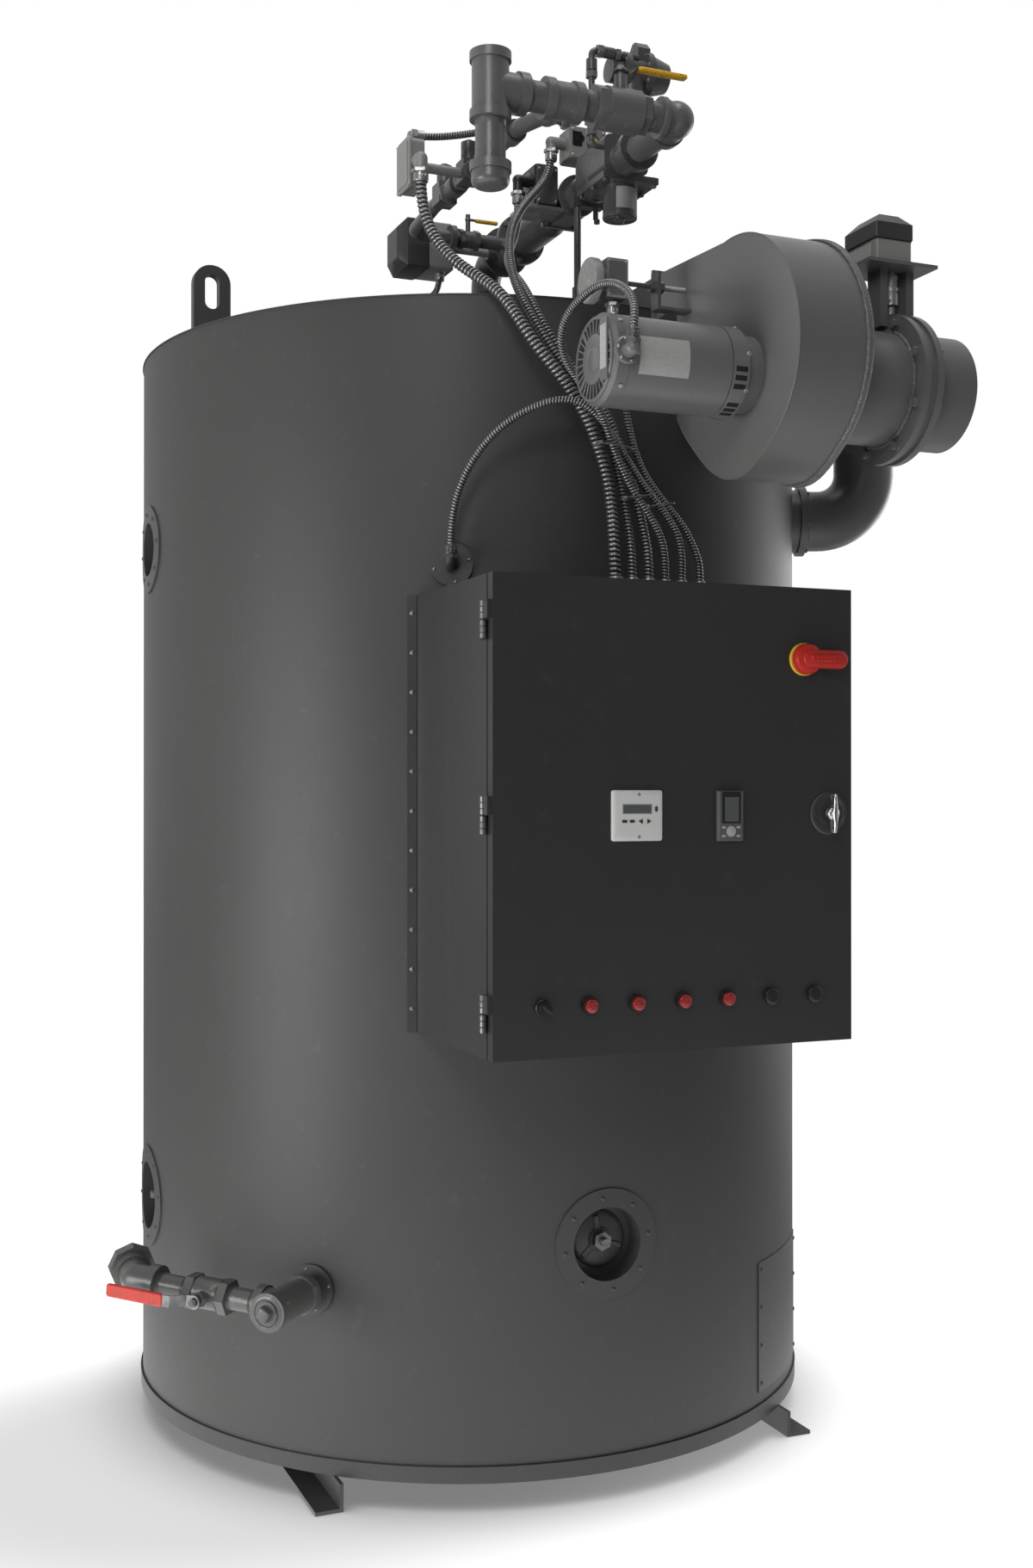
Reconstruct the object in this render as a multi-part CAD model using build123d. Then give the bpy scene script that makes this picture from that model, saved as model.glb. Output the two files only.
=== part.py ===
"""Vertical industrial steam boiler with its panel, blower, gas train and conduits.

Millimetres. The origin is on the boiler's axis at floor level, +Z is up, the control
panel faces -Y and the blower's air inlet points towards +X.
"""
import os
from math import cos, degrees, radians, sin, tan

from build123d import *

os.makedirs("parts", exist_ok=True)

# Boiler body
jacket_radius = 817.5
jacket_sheet = 3.0
jacket_top = 2542.6
base_height = 58.7
end_plate = 10.0
vessel_radius = 762.0
vessel_wall = 9.5
band_height = 34.0
band_proud = 5.0

# Base rails: two angles parallel to Y, with their flanges on the floor
rail_leg = 63.5
rail_thickness = 8.0
rail_heel = 536.0
rail_half_length = 666.0

# Lifting lugs
lug_radius = 677.0
lug_turn = 2.5
lug_width = 90.0
lug_thickness = 25.0
lug_height = 219.4
lug_slot_width = 35.0
lug_slot_height = 82.0

# Openings through the jacket
handhole_height = 541.0
handhole_ring_radius = 118.0
handhole_bore = 78.0
handhole_angles = {"front": -90.0, "left": 180.0, "right": 0.0, "rear": 90.0}
port_height = 2077.0
port_ring_radius = 104.0
port_bore = 63.0
ring_plate = 4.0
sleeve_wall = 3.0
access_start = -57.0
access_turn = 23.5
access_low = 122.0
access_high = 419.0
access_plate = 2.5

# Control panel
panel_half_width = 393.0
panel_low = 997.4
panel_high = 1911.4
panel_front = -1144.6
panel_back = -908.0
panel_sheet = 2.5
door_return = 25.0
door_gap = 5.0
hinge_x = -401.0
hinge_y = -1117.0
hinge_heights = (1824.0, 1457.0, 1085.0)
hinge_length = 72.0
hinge_radius = 6.5
pin_radius = 3.0
running_gap = 0.06

# Panel instruments: centre x and z on the door
disconnect_place = (280.0, 1767.0)
disconnect_ring = 35.0
disconnect_hub = 31.0
disconnect_width = 38.0
disconnect_reach = 84.0
latch_place = (338.0, 1457.0)
display_place = (-95.0, 1455.0)
controller_place = (108.0, 1453.5)
button_row = 1094.0
selector_x = -292.0
light_places = (-195.0, -95.0, 6.0, 103.0)
cap_places = (203.0, 303.0)
button_radius = 17.0

# Blower: the shaft lies along X
shaft_y = -1192.3
shaft_z = 2312.7
motor_radius = 86.0
elbow_x = -180.0
elbow_z = 2311.0
motor_left = -206.0
motor_right = 80.0
scroll_left = 117.4
scroll_right = 266.0
scroll_rim = 9.6
outlet_y = -811.0
outlet_high = 2613.5
outlet_low = 2548.6
neck_low = 2518.6
flange_low = 2483.6
scroll_rim_proud = 5.0
scroll_radii = {-15: 294, 0: 279, 23: 254, 43: 232, 66: 213, 90: 198, 120: 182, 147: 174, 185: 195,
                205: 206, 220: 213, 243: 235, 265: 283}
duct_radius = 113.0
actuator_x = 427.0
actuator_stand_z = 2551.0
damper_left = 434.0
damper_right = 478.0
damper_radius = 149.5
stub_right = 582.0
stub_radius = 115.0
stub_wall = 4.0

# Air pressure switch on its bracket, in front of the jacket
switch_y = -960.0
switch_z = 2536.0

# Windbox on the top plate
windbox_radius = 300.0
windbox_high = 2672.0

# Recirculation pipe from the jacket's side to the back of the inlet duct
recirculation_angle = -22.0
recirculation_z = 2195.0
recirculation_radius = 76.0
recirculation_bend = 152.0

# Gas train: two-inch pipe in a horizontal plane, first along X and then along Y
gas_z = 2882.0
gas_y = -980.0
gas_x = 78.0
pipe_radius = 30.2
pipe_bore = 26.0
fitting_radius = 37.0
band_radius = 41.5
drip_x = -332.0
drip_top = 2953.0
drip_bottom = 2688.0
branch_x = -180.0
cock_x = -48.0
burner_y = 85.0
pad_z = 2852.0
firing_y = -34.0
firing_rod_y = -76.0
firing_z = 2864.0

# Pilot line: one-inch pipe beside the main run
lever_z = gas_z + 80
pilot_x = -205.0
pilot_radius = 16.7
pilot_cross_y = -150.0
pilot_cock_x = -62.0

# Blowdown line: a pipe out of the jacket, then along a slanting run
blowdown_angle = -135.0
blowdown_z = 447.0
blowdown_reach = 142.0
blowdown_radius = 24.0
blowdown_run = (-0.7071, 0.7071, 0.055)
blowdown_stem = 162.0
blowdown_elbow = 345.0
blowdown_turn = 15.0

# Flexible conduits: diameters
main_conduit = 25.0
valve_conduit = 19.0
small_conduit = 16.0

bottom_up = (Align.CENTER, Align.CENTER, Align.MIN)


def save(name, shape):
    """Write one sub-part."""
    export_step(shape, f"parts/{name}.step")


def block(x, y, z):
    """Box between the low and high limit given for each axis."""
    limits = (x, y, z)
    centre = [(low + high) / 2 for low, high in limits]
    return Pos(*centre) * Box(*[high - low for low, high in limits])


def rod(start, end, radius, bore=0.0):
    """Round bar or tube from one point to another."""
    axis = Vector(*end) - Vector(*start)
    solid = Cylinder(radius, axis.length, align=bottom_up)
    if bore:
        solid -= Cylinder(bore, axis.length, align=bottom_up)
    return Plane(origin=start, z_dir=axis) * solid


def cone(start, end, start_radius, end_radius):
    """Tapered round bar from one point to another."""
    axis = Vector(*end) - Vector(*start)
    return Plane(origin=start, z_dir=axis) * Cone(start_radius, end_radius, axis.length, align=bottom_up)


def hexagon(start, end, across_flats, sides=6):
    """Hexagonal bar from one point to another, or one with another number of sides."""
    axis = Vector(*end) - Vector(*start)
    section = RegularPolygon(across_flats / 2, sides, major_radius=False)
    return extrude(Plane(origin=start, z_dir=axis) * section, amount=axis.length)


def bent_pipe(points, radius, bend):
    """Solid pipe along straight runs joined by arcs of one bend radius."""
    path = FilletPolyline(*points, radius=bend)
    direction = Vector(*points[1]) - Vector(*points[0])
    return sweep(Plane(origin=points[0], z_dir=direction) * Circle(radius), path=path)


def on_jacket(angle, z, radius=jacket_radius):
    """Plane that touches the jacket, with its z axis pointing outwards."""
    a = radians(angle)
    return Plane(origin=(radius * cos(a), radius * sin(a), z), x_dir=(-sin(a), cos(a), 0), z_dir=(cos(a), sin(a), 0))


def at_angle(angle, radius, z):
    """Point at an angle and radius about the boiler's axis."""
    a = radians(angle)
    return (radius * cos(a), radius * sin(a), z)


def upright_tube(radius, wall, low, high):
    """Tube about the boiler's axis."""
    ring = Circle(radius) - Circle(radius - wall)
    return extrude(Pos(0, 0, low) * ring, amount=high - low)


def lined_port(angle, z, ring_radius, bore):
    """Ring plate on the jacket with a sleeve and floor that reach in to the pressure vessel."""
    skin = jacket_radius + ring_plate
    depth = skin - vessel_radius
    inner = on_jacket(180, z, vessel_radius)
    band = upright_tube(skin, ring_plate, z - ring_radius - 5, z + ring_radius + 5)
    ring = band & (inner * Cylinder(ring_radius, 2 * depth, align=bottom_up))
    sleeve = inner * Cylinder(bore + sleeve_wall, 2 * depth, align=bottom_up)
    sleeve &= Pos(0, 0, z) * Cylinder(skin, 3 * bore)
    floor_thickness = 5.0
    recess = on_jacket(180, z, vessel_radius + floor_thickness) * Cylinder(bore, 3 * depth, align=bottom_up)
    return Rot(0, 0, angle - 180) * ((ring + sleeve) - recess)


def make_rails():
    """Two steel angles with outward flanges on the floor."""
    rails = []
    for side in (-1, 1):
        leg = block((0, rail_thickness), (-rail_half_length, rail_half_length), (0, base_height))
        flange = block((0, rail_leg - 2.5), (-rail_half_length, rail_half_length), (0, rail_thickness))
        rail = Pos(rail_heel, 0, 0) * (leg + flange)
        rails.append(rail if side > 0 else mirror(rail, Plane.YZ))
    return Compound(children=rails)


def make_jacket():
    """Outer sheet with its base band and the holes for the lined ports."""
    low = base_height + end_plate
    jacket = upright_tube(jacket_radius, jacket_sheet, low, jacket_top - end_plate)
    band = upright_tube(jacket_radius + band_proud, band_proud, base_height, base_height + band_height)
    jacket += band
    for angle in handhole_angles.values():
        jacket -= on_jacket(angle, handhole_height) * Cylinder(handhole_bore + sleeve_wall, 60)
    jacket -= on_jacket(180, port_height) * Cylinder(port_bore + sleeve_wall, 60)
    return jacket


def make_lugs():
    """Lifting lugs: upright plates with a rounded top and a slot."""
    profile = Pos(0, lug_height / 2) * Rectangle(lug_width, lug_height)
    profile = fillet(profile.vertices().sort_by(Axis.Y)[-2:], lug_width / 2 - 1)
    slot_centre = lug_height - lug_slot_height / 2 - 23
    slot = Pos(0, slot_centre) * SlotOverall(lug_slot_height, lug_slot_width, rotation=90)
    plate = extrude(Plane.XZ * (profile - slot), amount=lug_thickness / 2, both=True)
    return Compound(children=[
        Rot(0, 0, lug_turn + turn) * Pos(lug_radius, 0, jacket_top) * plate for turn in (0, 180)
    ])


def make_handhole_covers():
    """Closing plate, washer, nut and stud on the floor of each handhole."""
    floor = vessel_radius + 5.0
    covers = []
    for angle in handhole_angles.values():
        cover = on_jacket(angle, handhole_height, floor) * Cylinder(62, 10, align=bottom_up)
        cover += on_jacket(angle, handhole_height, floor + 10) * Cylinder(26, 4, align=bottom_up)
        nut = extrude(RegularPolygon(19, 6, major_radius=False), amount=18)
        cover += on_jacket(angle, handhole_height, floor + 14) * nut
        cover += on_jacket(angle, handhole_height, floor + 10) * Cylinder(9.5, 36, align=bottom_up)
        covers.append(cover)
    return Compound(children=covers)


def make_access_panel():
    """Curved plate over the cleanout opening, low on the front right."""
    height = access_high - access_low
    section = Pos(jacket_radius + access_plate / 2, (access_low + access_high) / 2)
    section *= Rectangle(access_plate, height)
    plate = revolve(Plane.XZ * section, axis=Axis.Z, revolution_arc=access_turn)
    return Rot(0, 0, access_start) * plate


def make_rosettes():
    """Round escutcheons where the blowdown pipe and a conduit leave the jacket."""
    blowdown = on_jacket(blowdown_angle, blowdown_z, jacket_radius - 1) * Cylinder(52, 9, align=bottom_up)
    blowdown -= on_jacket(blowdown_angle, blowdown_z) * Cylinder(blowdown_radius, 60)
    port = on_jacket(-113.6, 1975, jacket_radius - 1) * Cylinder(45, 9, align=bottom_up)
    corner = at_angle(-113.6, jacket_radius + 40, 1975)
    port += bent_pipe([at_angle(-113.6, jacket_radius - 10, 1975), corner, (corner[0], corner[1], 2000)], 13.5, 20)
    return Compound(children=[blowdown - Cylinder(jacket_radius, 6000), port - Cylinder(jacket_radius, 6000)])


def blowdown_axes():
    """Directions at the blowdown line: along the run, out of the jacket and out of the elbow."""
    run = Vector(*blowdown_run).normalized()
    outward = (run.cross(Vector(0, 0, 1)) * -1).normalized()
    upward = run.cross(outward)
    inward = outward * -cos(radians(blowdown_turn)) + upward * sin(radians(blowdown_turn))
    return run, outward, (run + inward).normalized()


def blowdown_point(along, out=0.0, past=0.0):
    """Point on the blowdown run: along it, out from the jacket and past its elbow."""
    run, outward, outlet = blowdown_axes()
    corner = Vector(*at_angle(blowdown_angle, jacket_radius + blowdown_reach, blowdown_z))
    return tuple(corner + run * along + outward * out + outlet * past)


def make_blowdown():
    """Pipe, plugged tee, nipples, valve body and the outlet elbow, as three sub-parts."""
    wall = at_angle(blowdown_angle, jacket_radius, blowdown_z)
    piping = rod(wall, blowdown_point(0), blowdown_radius) - Cylinder(jacket_radius, 6000)
    piping += rod(blowdown_point(0, -104), blowdown_point(0, 46), 36)
    for start, end, radius in ((-104, -84, 42), (28, 46, 40)):
        piping += rod(blowdown_point(0, start), blowdown_point(0, end), radius)
    piping += rod(blowdown_point(0), blowdown_point(46), 35)
    piping += rod(blowdown_point(28), blowdown_point(46), 39)
    piping += rod(blowdown_point(46), blowdown_point(112), blowdown_radius)
    valve = hexagon(blowdown_point(112), blowdown_point(132), 66)
    valve += rod(blowdown_point(132), blowdown_point(192), 33)
    valve += hexagon(blowdown_point(192), blowdown_point(212), 66)
    stem_start = blowdown_point(blowdown_stem, 26)
    valve += rod(stem_start, blowdown_point(blowdown_stem, 52), 14)
    valve += rod(stem_start, blowdown_point(blowdown_stem, 76), pin_radius * 2)
    outlet = rod(blowdown_point(212), blowdown_point(290), blowdown_radius)
    outlet += rod(blowdown_point(286), blowdown_point(306), 38)
    outlet += rod(blowdown_point(306), blowdown_point(blowdown_elbow), 33)
    outlet += Sphere(33).move(Location(blowdown_point(blowdown_elbow)))
    outlet += rod(blowdown_point(blowdown_elbow), blowdown_point(blowdown_elbow, 0, 48), 33)
    outlet += rod(blowdown_point(blowdown_elbow, 0, 30), blowdown_point(blowdown_elbow, 0, 48), 38)
    bushing = (blowdown_point(blowdown_elbow, 0, 48), blowdown_point(blowdown_elbow, 0, 70))
    outlet += hexagon(*bushing, 92, 8)
    outlet -= rod(blowdown_point(blowdown_elbow, 0, 42), blowdown_point(blowdown_elbow, 0, 90), 26)
    return piping, valve, outlet


def make_blowdown_lever():
    """Flat cranked lever of the blowdown valve in its red sleeve, along the run when open."""
    lever = Pos(0, 0, 60) * Cylinder(15, 7, align=bottom_up)
    low = [(0, 60), (20, 60), (44, 86), (120, 86)]
    high = [(120, 90), (42, 90), (17, 64), (0, 64)]
    side = Plane(origin=(0, 12, 0), x_dir=(1, 0, 0), z_dir=(0, -1, 0))
    lever += extrude(side * make_face(Polyline(*low, *high, close=True)), 24)
    sleeve = Pos(127.5, 0, 88) * Box(137, 27, 9)
    lever += fillet(sleeve.edges().filter_by(Axis.X), 3.5)
    lever -= Pos(0, 0, 40) * Cylinder(pin_radius * 2 + running_gap, 60, align=bottom_up)
    run, outward, _ = blowdown_axes()
    return Plane(origin=blowdown_point(blowdown_stem), x_dir=tuple(run), z_dir=tuple(outward)) * lever


def make_enclosure():
    """Panel box with its back, open at the front behind the door."""
    front = panel_front + door_return + door_gap
    width = (-panel_half_width, panel_half_width)
    box = block(width, (front, panel_back), (panel_low, panel_high))
    inside = panel_half_width - panel_sheet
    box -= block((-inside, inside), (front - 1, panel_back - panel_sheet),
                 (panel_low + panel_sheet, panel_high - panel_sheet))
    return box


def make_skirt():
    """Sheet frame that carries the panel box on the jacket's curve."""
    width = (-panel_half_width, panel_half_width)
    depth = (panel_back, -600.0)
    frame = block(width, depth, (panel_low, panel_high))
    inside = panel_half_width - panel_sheet
    frame -= block((-inside, inside), depth, (panel_low + panel_sheet, panel_high - panel_sheet))
    return frame - Cylinder(jacket_radius, 6000)


def make_mounting_plate():
    """Plain component plate on four pads inside the box."""
    back = panel_back - panel_sheet
    low, high = panel_low + 60, panel_high - 60
    plate = block((-330, 330), (back - 15, back - 12), (low, high))
    for x in (-300, 300):
        for z in (low + 30, high - 30):
            plate += rod((x, back - 12, z), (x, back, z), 8)
    return plate


def make_hinges():
    """Lower knuckle, pin and leaf of each hinge, on the side of the box."""
    front = panel_front + door_return + door_gap
    hinges = []
    for z in hinge_heights:
        low = z - hinge_length / 2
        knuckle = rod((hinge_x, hinge_y, low), (hinge_x, hinge_y, z - 1), hinge_radius)
        knuckle += block((-panel_half_width - 3, -panel_half_width), (front + 1, front + 32), (low, z - 1))
        knuckle += block((hinge_x, -panel_half_width), (hinge_y, front + 8), (low, z - 1))
        knuckle += rod((hinge_x, hinge_y, z - 2), (hinge_x, hinge_y, z + 20), pin_radius)
        hinges.append(knuckle)
    return Compound(children=hinges)


def make_door():
    """Door pan with its returns and the upper knuckle of each hinge."""
    width = (-panel_half_width, panel_half_width)
    depth = (panel_front, panel_front + door_return)
    door = block(width, depth, (panel_low, panel_high))
    inside = panel_half_width - panel_sheet
    door -= block((-inside, inside), (panel_front + panel_sheet, panel_front + 100),
                  (panel_low + panel_sheet, panel_high - panel_sheet))
    for z in hinge_heights:
        high = z + hinge_length / 2
        door += rod((hinge_x, hinge_y, z + 1), (hinge_x, hinge_y, high), hinge_radius)
        door += block((hinge_x, -panel_half_width + 1), (depth[1] - 22, depth[1] - 1), (z + 1, high))
        door += block((hinge_x - 2, hinge_x + 4), (depth[1] - 22, hinge_y), (z + 1, high))
        door -= rod((hinge_x, hinge_y, z), (hinge_x, hinge_y, z + 24), pin_radius + running_gap)
    return door


def door_disc(place, radius, start, end):
    """Disc on the door that stands between two distances in front of it."""
    x, z = place
    return rod((x, panel_front - start, z), (x, panel_front - end, z), radius)


def door_box(place, width, height, start, end):
    """Rectangular item on the door between two distances in front of it."""
    x, z = place
    return block((x - width / 2, x + width / 2), (panel_front - end, panel_front - start),
                 (z - height / 2, z + height / 2))


def make_disconnect_handle():
    """Red hub and broad grip of the main disconnect, pointing to the right when at rest."""
    x, z = disconnect_place
    face = panel_front
    handle = door_disc(disconnect_place, disconnect_hub, 11, 29)
    handle += rod((x, face - 1, z), (x, face - 12, z), 6)
    middle = (disconnect_reach - disconnect_width / 2) / 2
    back = Plane(origin=(x + middle, face - 13, z), x_dir=(1, 0, 0), z_dir=(0, -1, 0))
    outline = SlotOverall(disconnect_reach + disconnect_width / 2, disconnect_width)
    handle += extrude(back * outline, 20)
    handle += block((x - 2, x + 64), (face - 38, face - 30), (z - 6.5, z + 6.5))
    return handle


def make_latch_handle():
    """Wing handle of the door latch."""
    handle = door_disc(latch_place, 14, 11, 24)
    handle += door_disc(latch_place, 6, 1, 12)
    handle += door_box(latch_place, 11, 78, 20, 32)
    return handle


def scroll_outline(proud=0.0):
    """Side view of the scroll, as a spiral that opens into the outlet neck at the rear."""
    spiral = []
    for turn, radius in scroll_radii.items():
        a = radians(turn)
        spiral.append((shaft_y - (radius + proud) * sin(a), shaft_z + (radius + proud) * cos(a)))
    curve = Spline(*spiral, tangents=((-1, -0.04), (0.1, 1)))
    low, high = neck_low - proud, outlet_high + proud
    neck = [spiral[-1], (spiral[-1][0], low), (outlet_y, low), (outlet_y, high), spiral[0]]
    return make_face([*curve.edges(), *Polyline(*neck).edges()])


def make_scroll():
    """Closed blower scroll with the rim of its back plate and the outlet flange."""
    side = Plane.YZ * scroll_outline()
    body = extrude(Pos(scroll_left, 0, 0) * side, amount=scroll_right - scroll_left, dir=(1, 0, 0))
    back = Plane.YZ * scroll_outline(scroll_rim_proud)
    body += extrude(Pos(scroll_right, 0, 0) * back, amount=scroll_rim, dir=(1, 0, 0))
    return body + block((scroll_left - 10, scroll_right + scroll_rim + 10), (outlet_y - 8, outlet_y),
                        (flange_low, outlet_high + 10))


def make_windbox():
    """Burner drum on the top plate with its lid, gas neck and the duct from the blower."""
    drum = rod((0, 0, jacket_top), (0, 0, windbox_high), windbox_radius)
    drum += rod((0, 0, windbox_high), (0, 0, windbox_high + 12), windbox_radius + 15)
    neck_top = windbox_high + 60
    drum += rod((gas_x, burner_y, windbox_high + 12), (gas_x, burner_y, neck_top), 48)
    return drum + block((scroll_left + 2, scroll_right), (outlet_y, -140), (outlet_low, outlet_high))


def make_motor():
    """Blower motor with its fan cowl, end bell and terminal elbow."""
    axis = (shaft_y, shaft_z)
    motor = rod((motor_left + 9, *axis), (motor_right, *axis), motor_radius)
    motor += cone((motor_left + 9, *axis), (motor_left, *axis), motor_radius, motor_radius - 8)
    motor += rod((motor_right, *axis), (scroll_left, *axis), motor_radius - 18)
    front = shaft_y - motor_radius
    motor += rod((elbow_x, shaft_y, elbow_z), (elbow_x, front - 22, elbow_z), 14)
    motor += Sphere(14).move(Location((elbow_x, front - 22, elbow_z)))
    return motor + rod((elbow_x, front - 22, elbow_z), (elbow_x, front - 22, elbow_z + 26), 12)


def make_inlet_duct():
    """Round duct between the scroll's back plate and the damper, with a collar at the scroll."""
    axis = (shaft_y, shaft_z)
    start = scroll_right + scroll_rim
    duct = rod((start, *axis), (damper_left, *axis), duct_radius)
    return duct + rod((start, *axis), (start + 14, *axis), duct_radius + 9)


def make_damper():
    """Butterfly damper body: a wide bolted flange and a narrower spacer."""
    axis = (shaft_y, shaft_z)
    damper = rod((damper_left, *axis), (damper_left + 14, *axis), damper_radius)
    damper += rod((damper_left + 14, *axis), (damper_right - 14, *axis), damper_radius - 7)
    damper += rod((damper_right - 14, *axis), (damper_right, *axis), damper_radius)
    return damper


def make_air_inlet():
    """Open air-inlet stub with the damper disc inside it."""
    axis = (shaft_y, shaft_z)
    stub = rod((damper_right, *axis), (stub_right, *axis), stub_radius, stub_radius - stub_wall)
    stub += rod((damper_right, *axis), (damper_right + 10, *axis), stub_radius + 6, stub_radius - stub_wall)
    stub += rod((damper_right, *axis), (damper_right + 4, *axis), stub_radius)
    return stub


def make_actuator_stand():
    """Two posts and a plate above the damper, with the shaft coupling between them."""
    foot = shaft_z + damper_radius
    damper_x = (damper_left + damper_right) / 2
    plate_top = actuator_stand_z + 7
    stand = block((364, 526), (shaft_y - 62, shaft_y + 62), (actuator_stand_z, plate_top))
    for x in (damper_left - 18, damper_right):
        stand += block((x, x + 18), (shaft_y - 22, shaft_y + 22), (foot - 26, actuator_stand_z))
    shaft_foot = (damper_x, shaft_y, foot)
    stand += rod(shaft_foot, (damper_x, shaft_y, actuator_stand_z), 8)
    return stand + rod((damper_x, shaft_y, foot + 24), (damper_x, shaft_y, actuator_stand_z - 8), 14.5)


def actuator_body(width, depth, low, high):
    """Boxy actuator with a chamfered cap, standing on z = low about x = y = 0."""
    base_high = low + (high - low) * 0.45
    base = Pos(0, 0, (low + base_high) / 2) * Box(width, depth, base_high - low)
    cap = Pos(0, 0, (base_high + high) / 2) * Box(width + 4, depth + 4, high - base_high)
    top = cap.edges().group_by(Axis.Z)[-1]
    return fillet(base.edges().filter_by(Axis.Z), 6) + chamfer(top, 22)


def make_actuators():
    """The two actuators: one on the damper's stand and one at the gas butterfly valve."""
    damper = Pos(actuator_x, shaft_y, 0) * actuator_body(84, 110, actuator_stand_z + 7, 2655)
    firing = Pos(-84, firing_y, firing_z) * Rot(0, -90, 0) * actuator_body(116, 116, 0, 137)
    firing += rod((-84, firing_rod_y, firing_z), (gas_x - 60, firing_rod_y, firing_z), 11)
    firing += block((-84, -78), (firing_y - 56, firing_y + 56), (firing_z - 58, firing_z + 48))
    firing += rod((-104, firing_y - 26, firing_z - 70), (-104, firing_y - 26, firing_z - 50), 11)
    return Compound(children=[damper, firing])


def make_recirculation_pipe():
    """Pipe from the jacket's side, up and forward into the back of the inlet duct."""
    angle = recirculation_angle
    out = jacket_radius + 44 + recirculation_bend
    wall = at_angle(angle, jacket_radius - 20, recirculation_z)
    lower = at_angle(angle, out, recirculation_z)
    upper = at_angle(angle, out, 2500.0)
    behind = (355.0, -930.0, 2330.0)
    duct = (355.0, shaft_y, shaft_z)
    pipe = bent_pipe([wall, lower, upper, behind, duct], recirculation_radius, recirculation_bend * 0.8)
    ring_start = at_angle(angle, jacket_radius + 22, recirculation_z)
    ring_end = at_angle(angle, jacket_radius + 40, recirculation_z)
    pipe += rod(ring_start, ring_end, recirculation_radius + 13)
    pipe += rod(wall, ring_start, recirculation_radius + 4)
    pipe -= make_inlet_duct()
    pipe -= Cylinder(jacket_radius, 6000)
    return pipe.solids().sort_by(SortBy.VOLUME)[-1]


def make_air_switch():
    """Air pressure switch: diaphragm case, switch box, and its tube on a bracket."""
    y, z = switch_y, switch_z
    switch = rod((-113, y, z), (-98, y, z), 45)
    switch += rod((-98, y, z), (-80, y, z), 33)
    switch += block((-80, -34), (y - 24, y + 30), (z - 34, z + 44))
    switch += rod((-34, y, z + 4), (110, y, z + 4), 5)
    for x in (28, 47):
        switch += hexagon((x, y, z + 4), (x + 11, y, z + 4), 22)
    switch += block((39, 47), (y - 15, y + 15), (z - 44, z + 34))
    switch += block((47, scroll_left), (y - 15, y + 15), (z - 44, z - 38))
    return switch + rod((-57, y, z - 56), (-57, y, z - 34), 11)


def make_gas_piping():
    """Supply tee with its drip leg and cap, branch tee, nipples and the elbow."""
    place = (drip_x, gas_y)
    tee = rod((*place, gas_z - 62), (*place, drip_top), fitting_radius)
    for low, high in ((drip_top - 18, drip_top), (gas_z - 62, gas_z - 44)):
        tee += rod((*place, low), (*place, high), band_radius)
    tee += rod((drip_x, gas_y, gas_z), (drip_x + 66, gas_y, gas_z), fitting_radius)
    tee += rod((drip_x + 54, gas_y, gas_z), (drip_x + 74, gas_y, gas_z), band_radius)
    tee += rod((*place, drip_bottom + 20), (*place, gas_z - 62), pipe_radius)
    cap = rod((*place, drip_bottom), (*place, drip_bottom + 46), fitting_radius + 1)
    tee += fillet(cap.edges().sort_by(Axis.Z)[0], 14)
    tee += rod((*place, drip_bottom + 30), (*place, drip_bottom + 48), band_radius)
    tee += rod((drip_x + 74, gas_y, gas_z), (-110, gas_y, gas_z), pipe_radius)
    tee += rod((branch_x - 40, gas_y, gas_z), (branch_x + 40, gas_y, gas_z), fitting_radius)
    for x in (branch_x - 40, branch_x + 22):
        tee += rod((x, gas_y, gas_z), (x + 18, gas_y, gas_z), band_radius)
    tee += rod((branch_x, gas_y, gas_z), (branch_x, gas_y + 62, gas_z), 27)
    tee -= rod((*place, gas_z - 40), (*place, drip_top + 1), 28.5)
    elbow = bent_pipe([(40, gas_y, gas_z), (gas_x, gas_y, gas_z), (gas_x, gas_y + 48, gas_z)], 38, 37)
    elbow += Sphere(38).move(Location((gas_x, gas_y, gas_z)))
    elbow += rod((38, gas_y, gas_z), (48, gas_y, gas_z), band_radius)
    elbow += rod((gas_x, gas_y + 36, gas_z), (gas_x, gas_y + 54, gas_z), band_radius)
    elbow += rod((8, gas_y, gas_z), (40, gas_y, gas_z), pipe_radius)
    elbow += rod((gas_x, gas_y + 40, gas_z), (gas_x, -815, gas_z), pipe_radius)
    return Compound(children=[tee, elbow])


def make_gas_cock():
    """Ball valve body with hexagonal ends and its stem."""
    cock = hexagon((-110, gas_y, gas_z), (-86, gas_y, gas_z), 80)
    cock += rod((-86, gas_y, gas_z), (-11, gas_y, gas_z), 44)
    cock += hexagon((-11, gas_y, gas_z), (8, gas_y, gas_z), 74)
    cock += rod((cock_x, gas_y, gas_z), (cock_x, gas_y, lever_z - 8), 13)
    return cock + rod((cock_x, gas_y, gas_z), (cock_x, gas_y, lever_z + 14), 6)


def valve_lever(stem, length, width, thickness, rise=0.0):
    """Flat lever with a hub and a thicker grip, cranked up by the rise, along +X from its stem."""
    x, y, z = stem
    lever = rod((x, y, z), (x, y, z + thickness), width * 0.75)
    crank, start, middle = x + length * 0.13, x + length * 0.22, x + length * 0.5
    low = [(x, z), (crank, z), (start, z + rise), (middle, z + rise)]
    high = [(along, height + thickness) for along, height in reversed(low)]
    side = Plane(origin=(0, y + width / 2, 0), x_dir=(1, 0, 0), z_dir=(0, -1, 0))
    lever += extrude(side * make_face(Polyline(*low, *high, close=True)), width)
    grip = block((x + length * 0.25, x + length), (y - width * 0.6, y + width * 0.6),
                 (z + rise - thickness * 0.7, z + rise + thickness * 1.4))
    lever += fillet(grip.edges().filter_by(Axis.X), thickness)
    return lever - rod((x, y, z - 30), (x, y, z + 30), 6 + running_gap)


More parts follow.
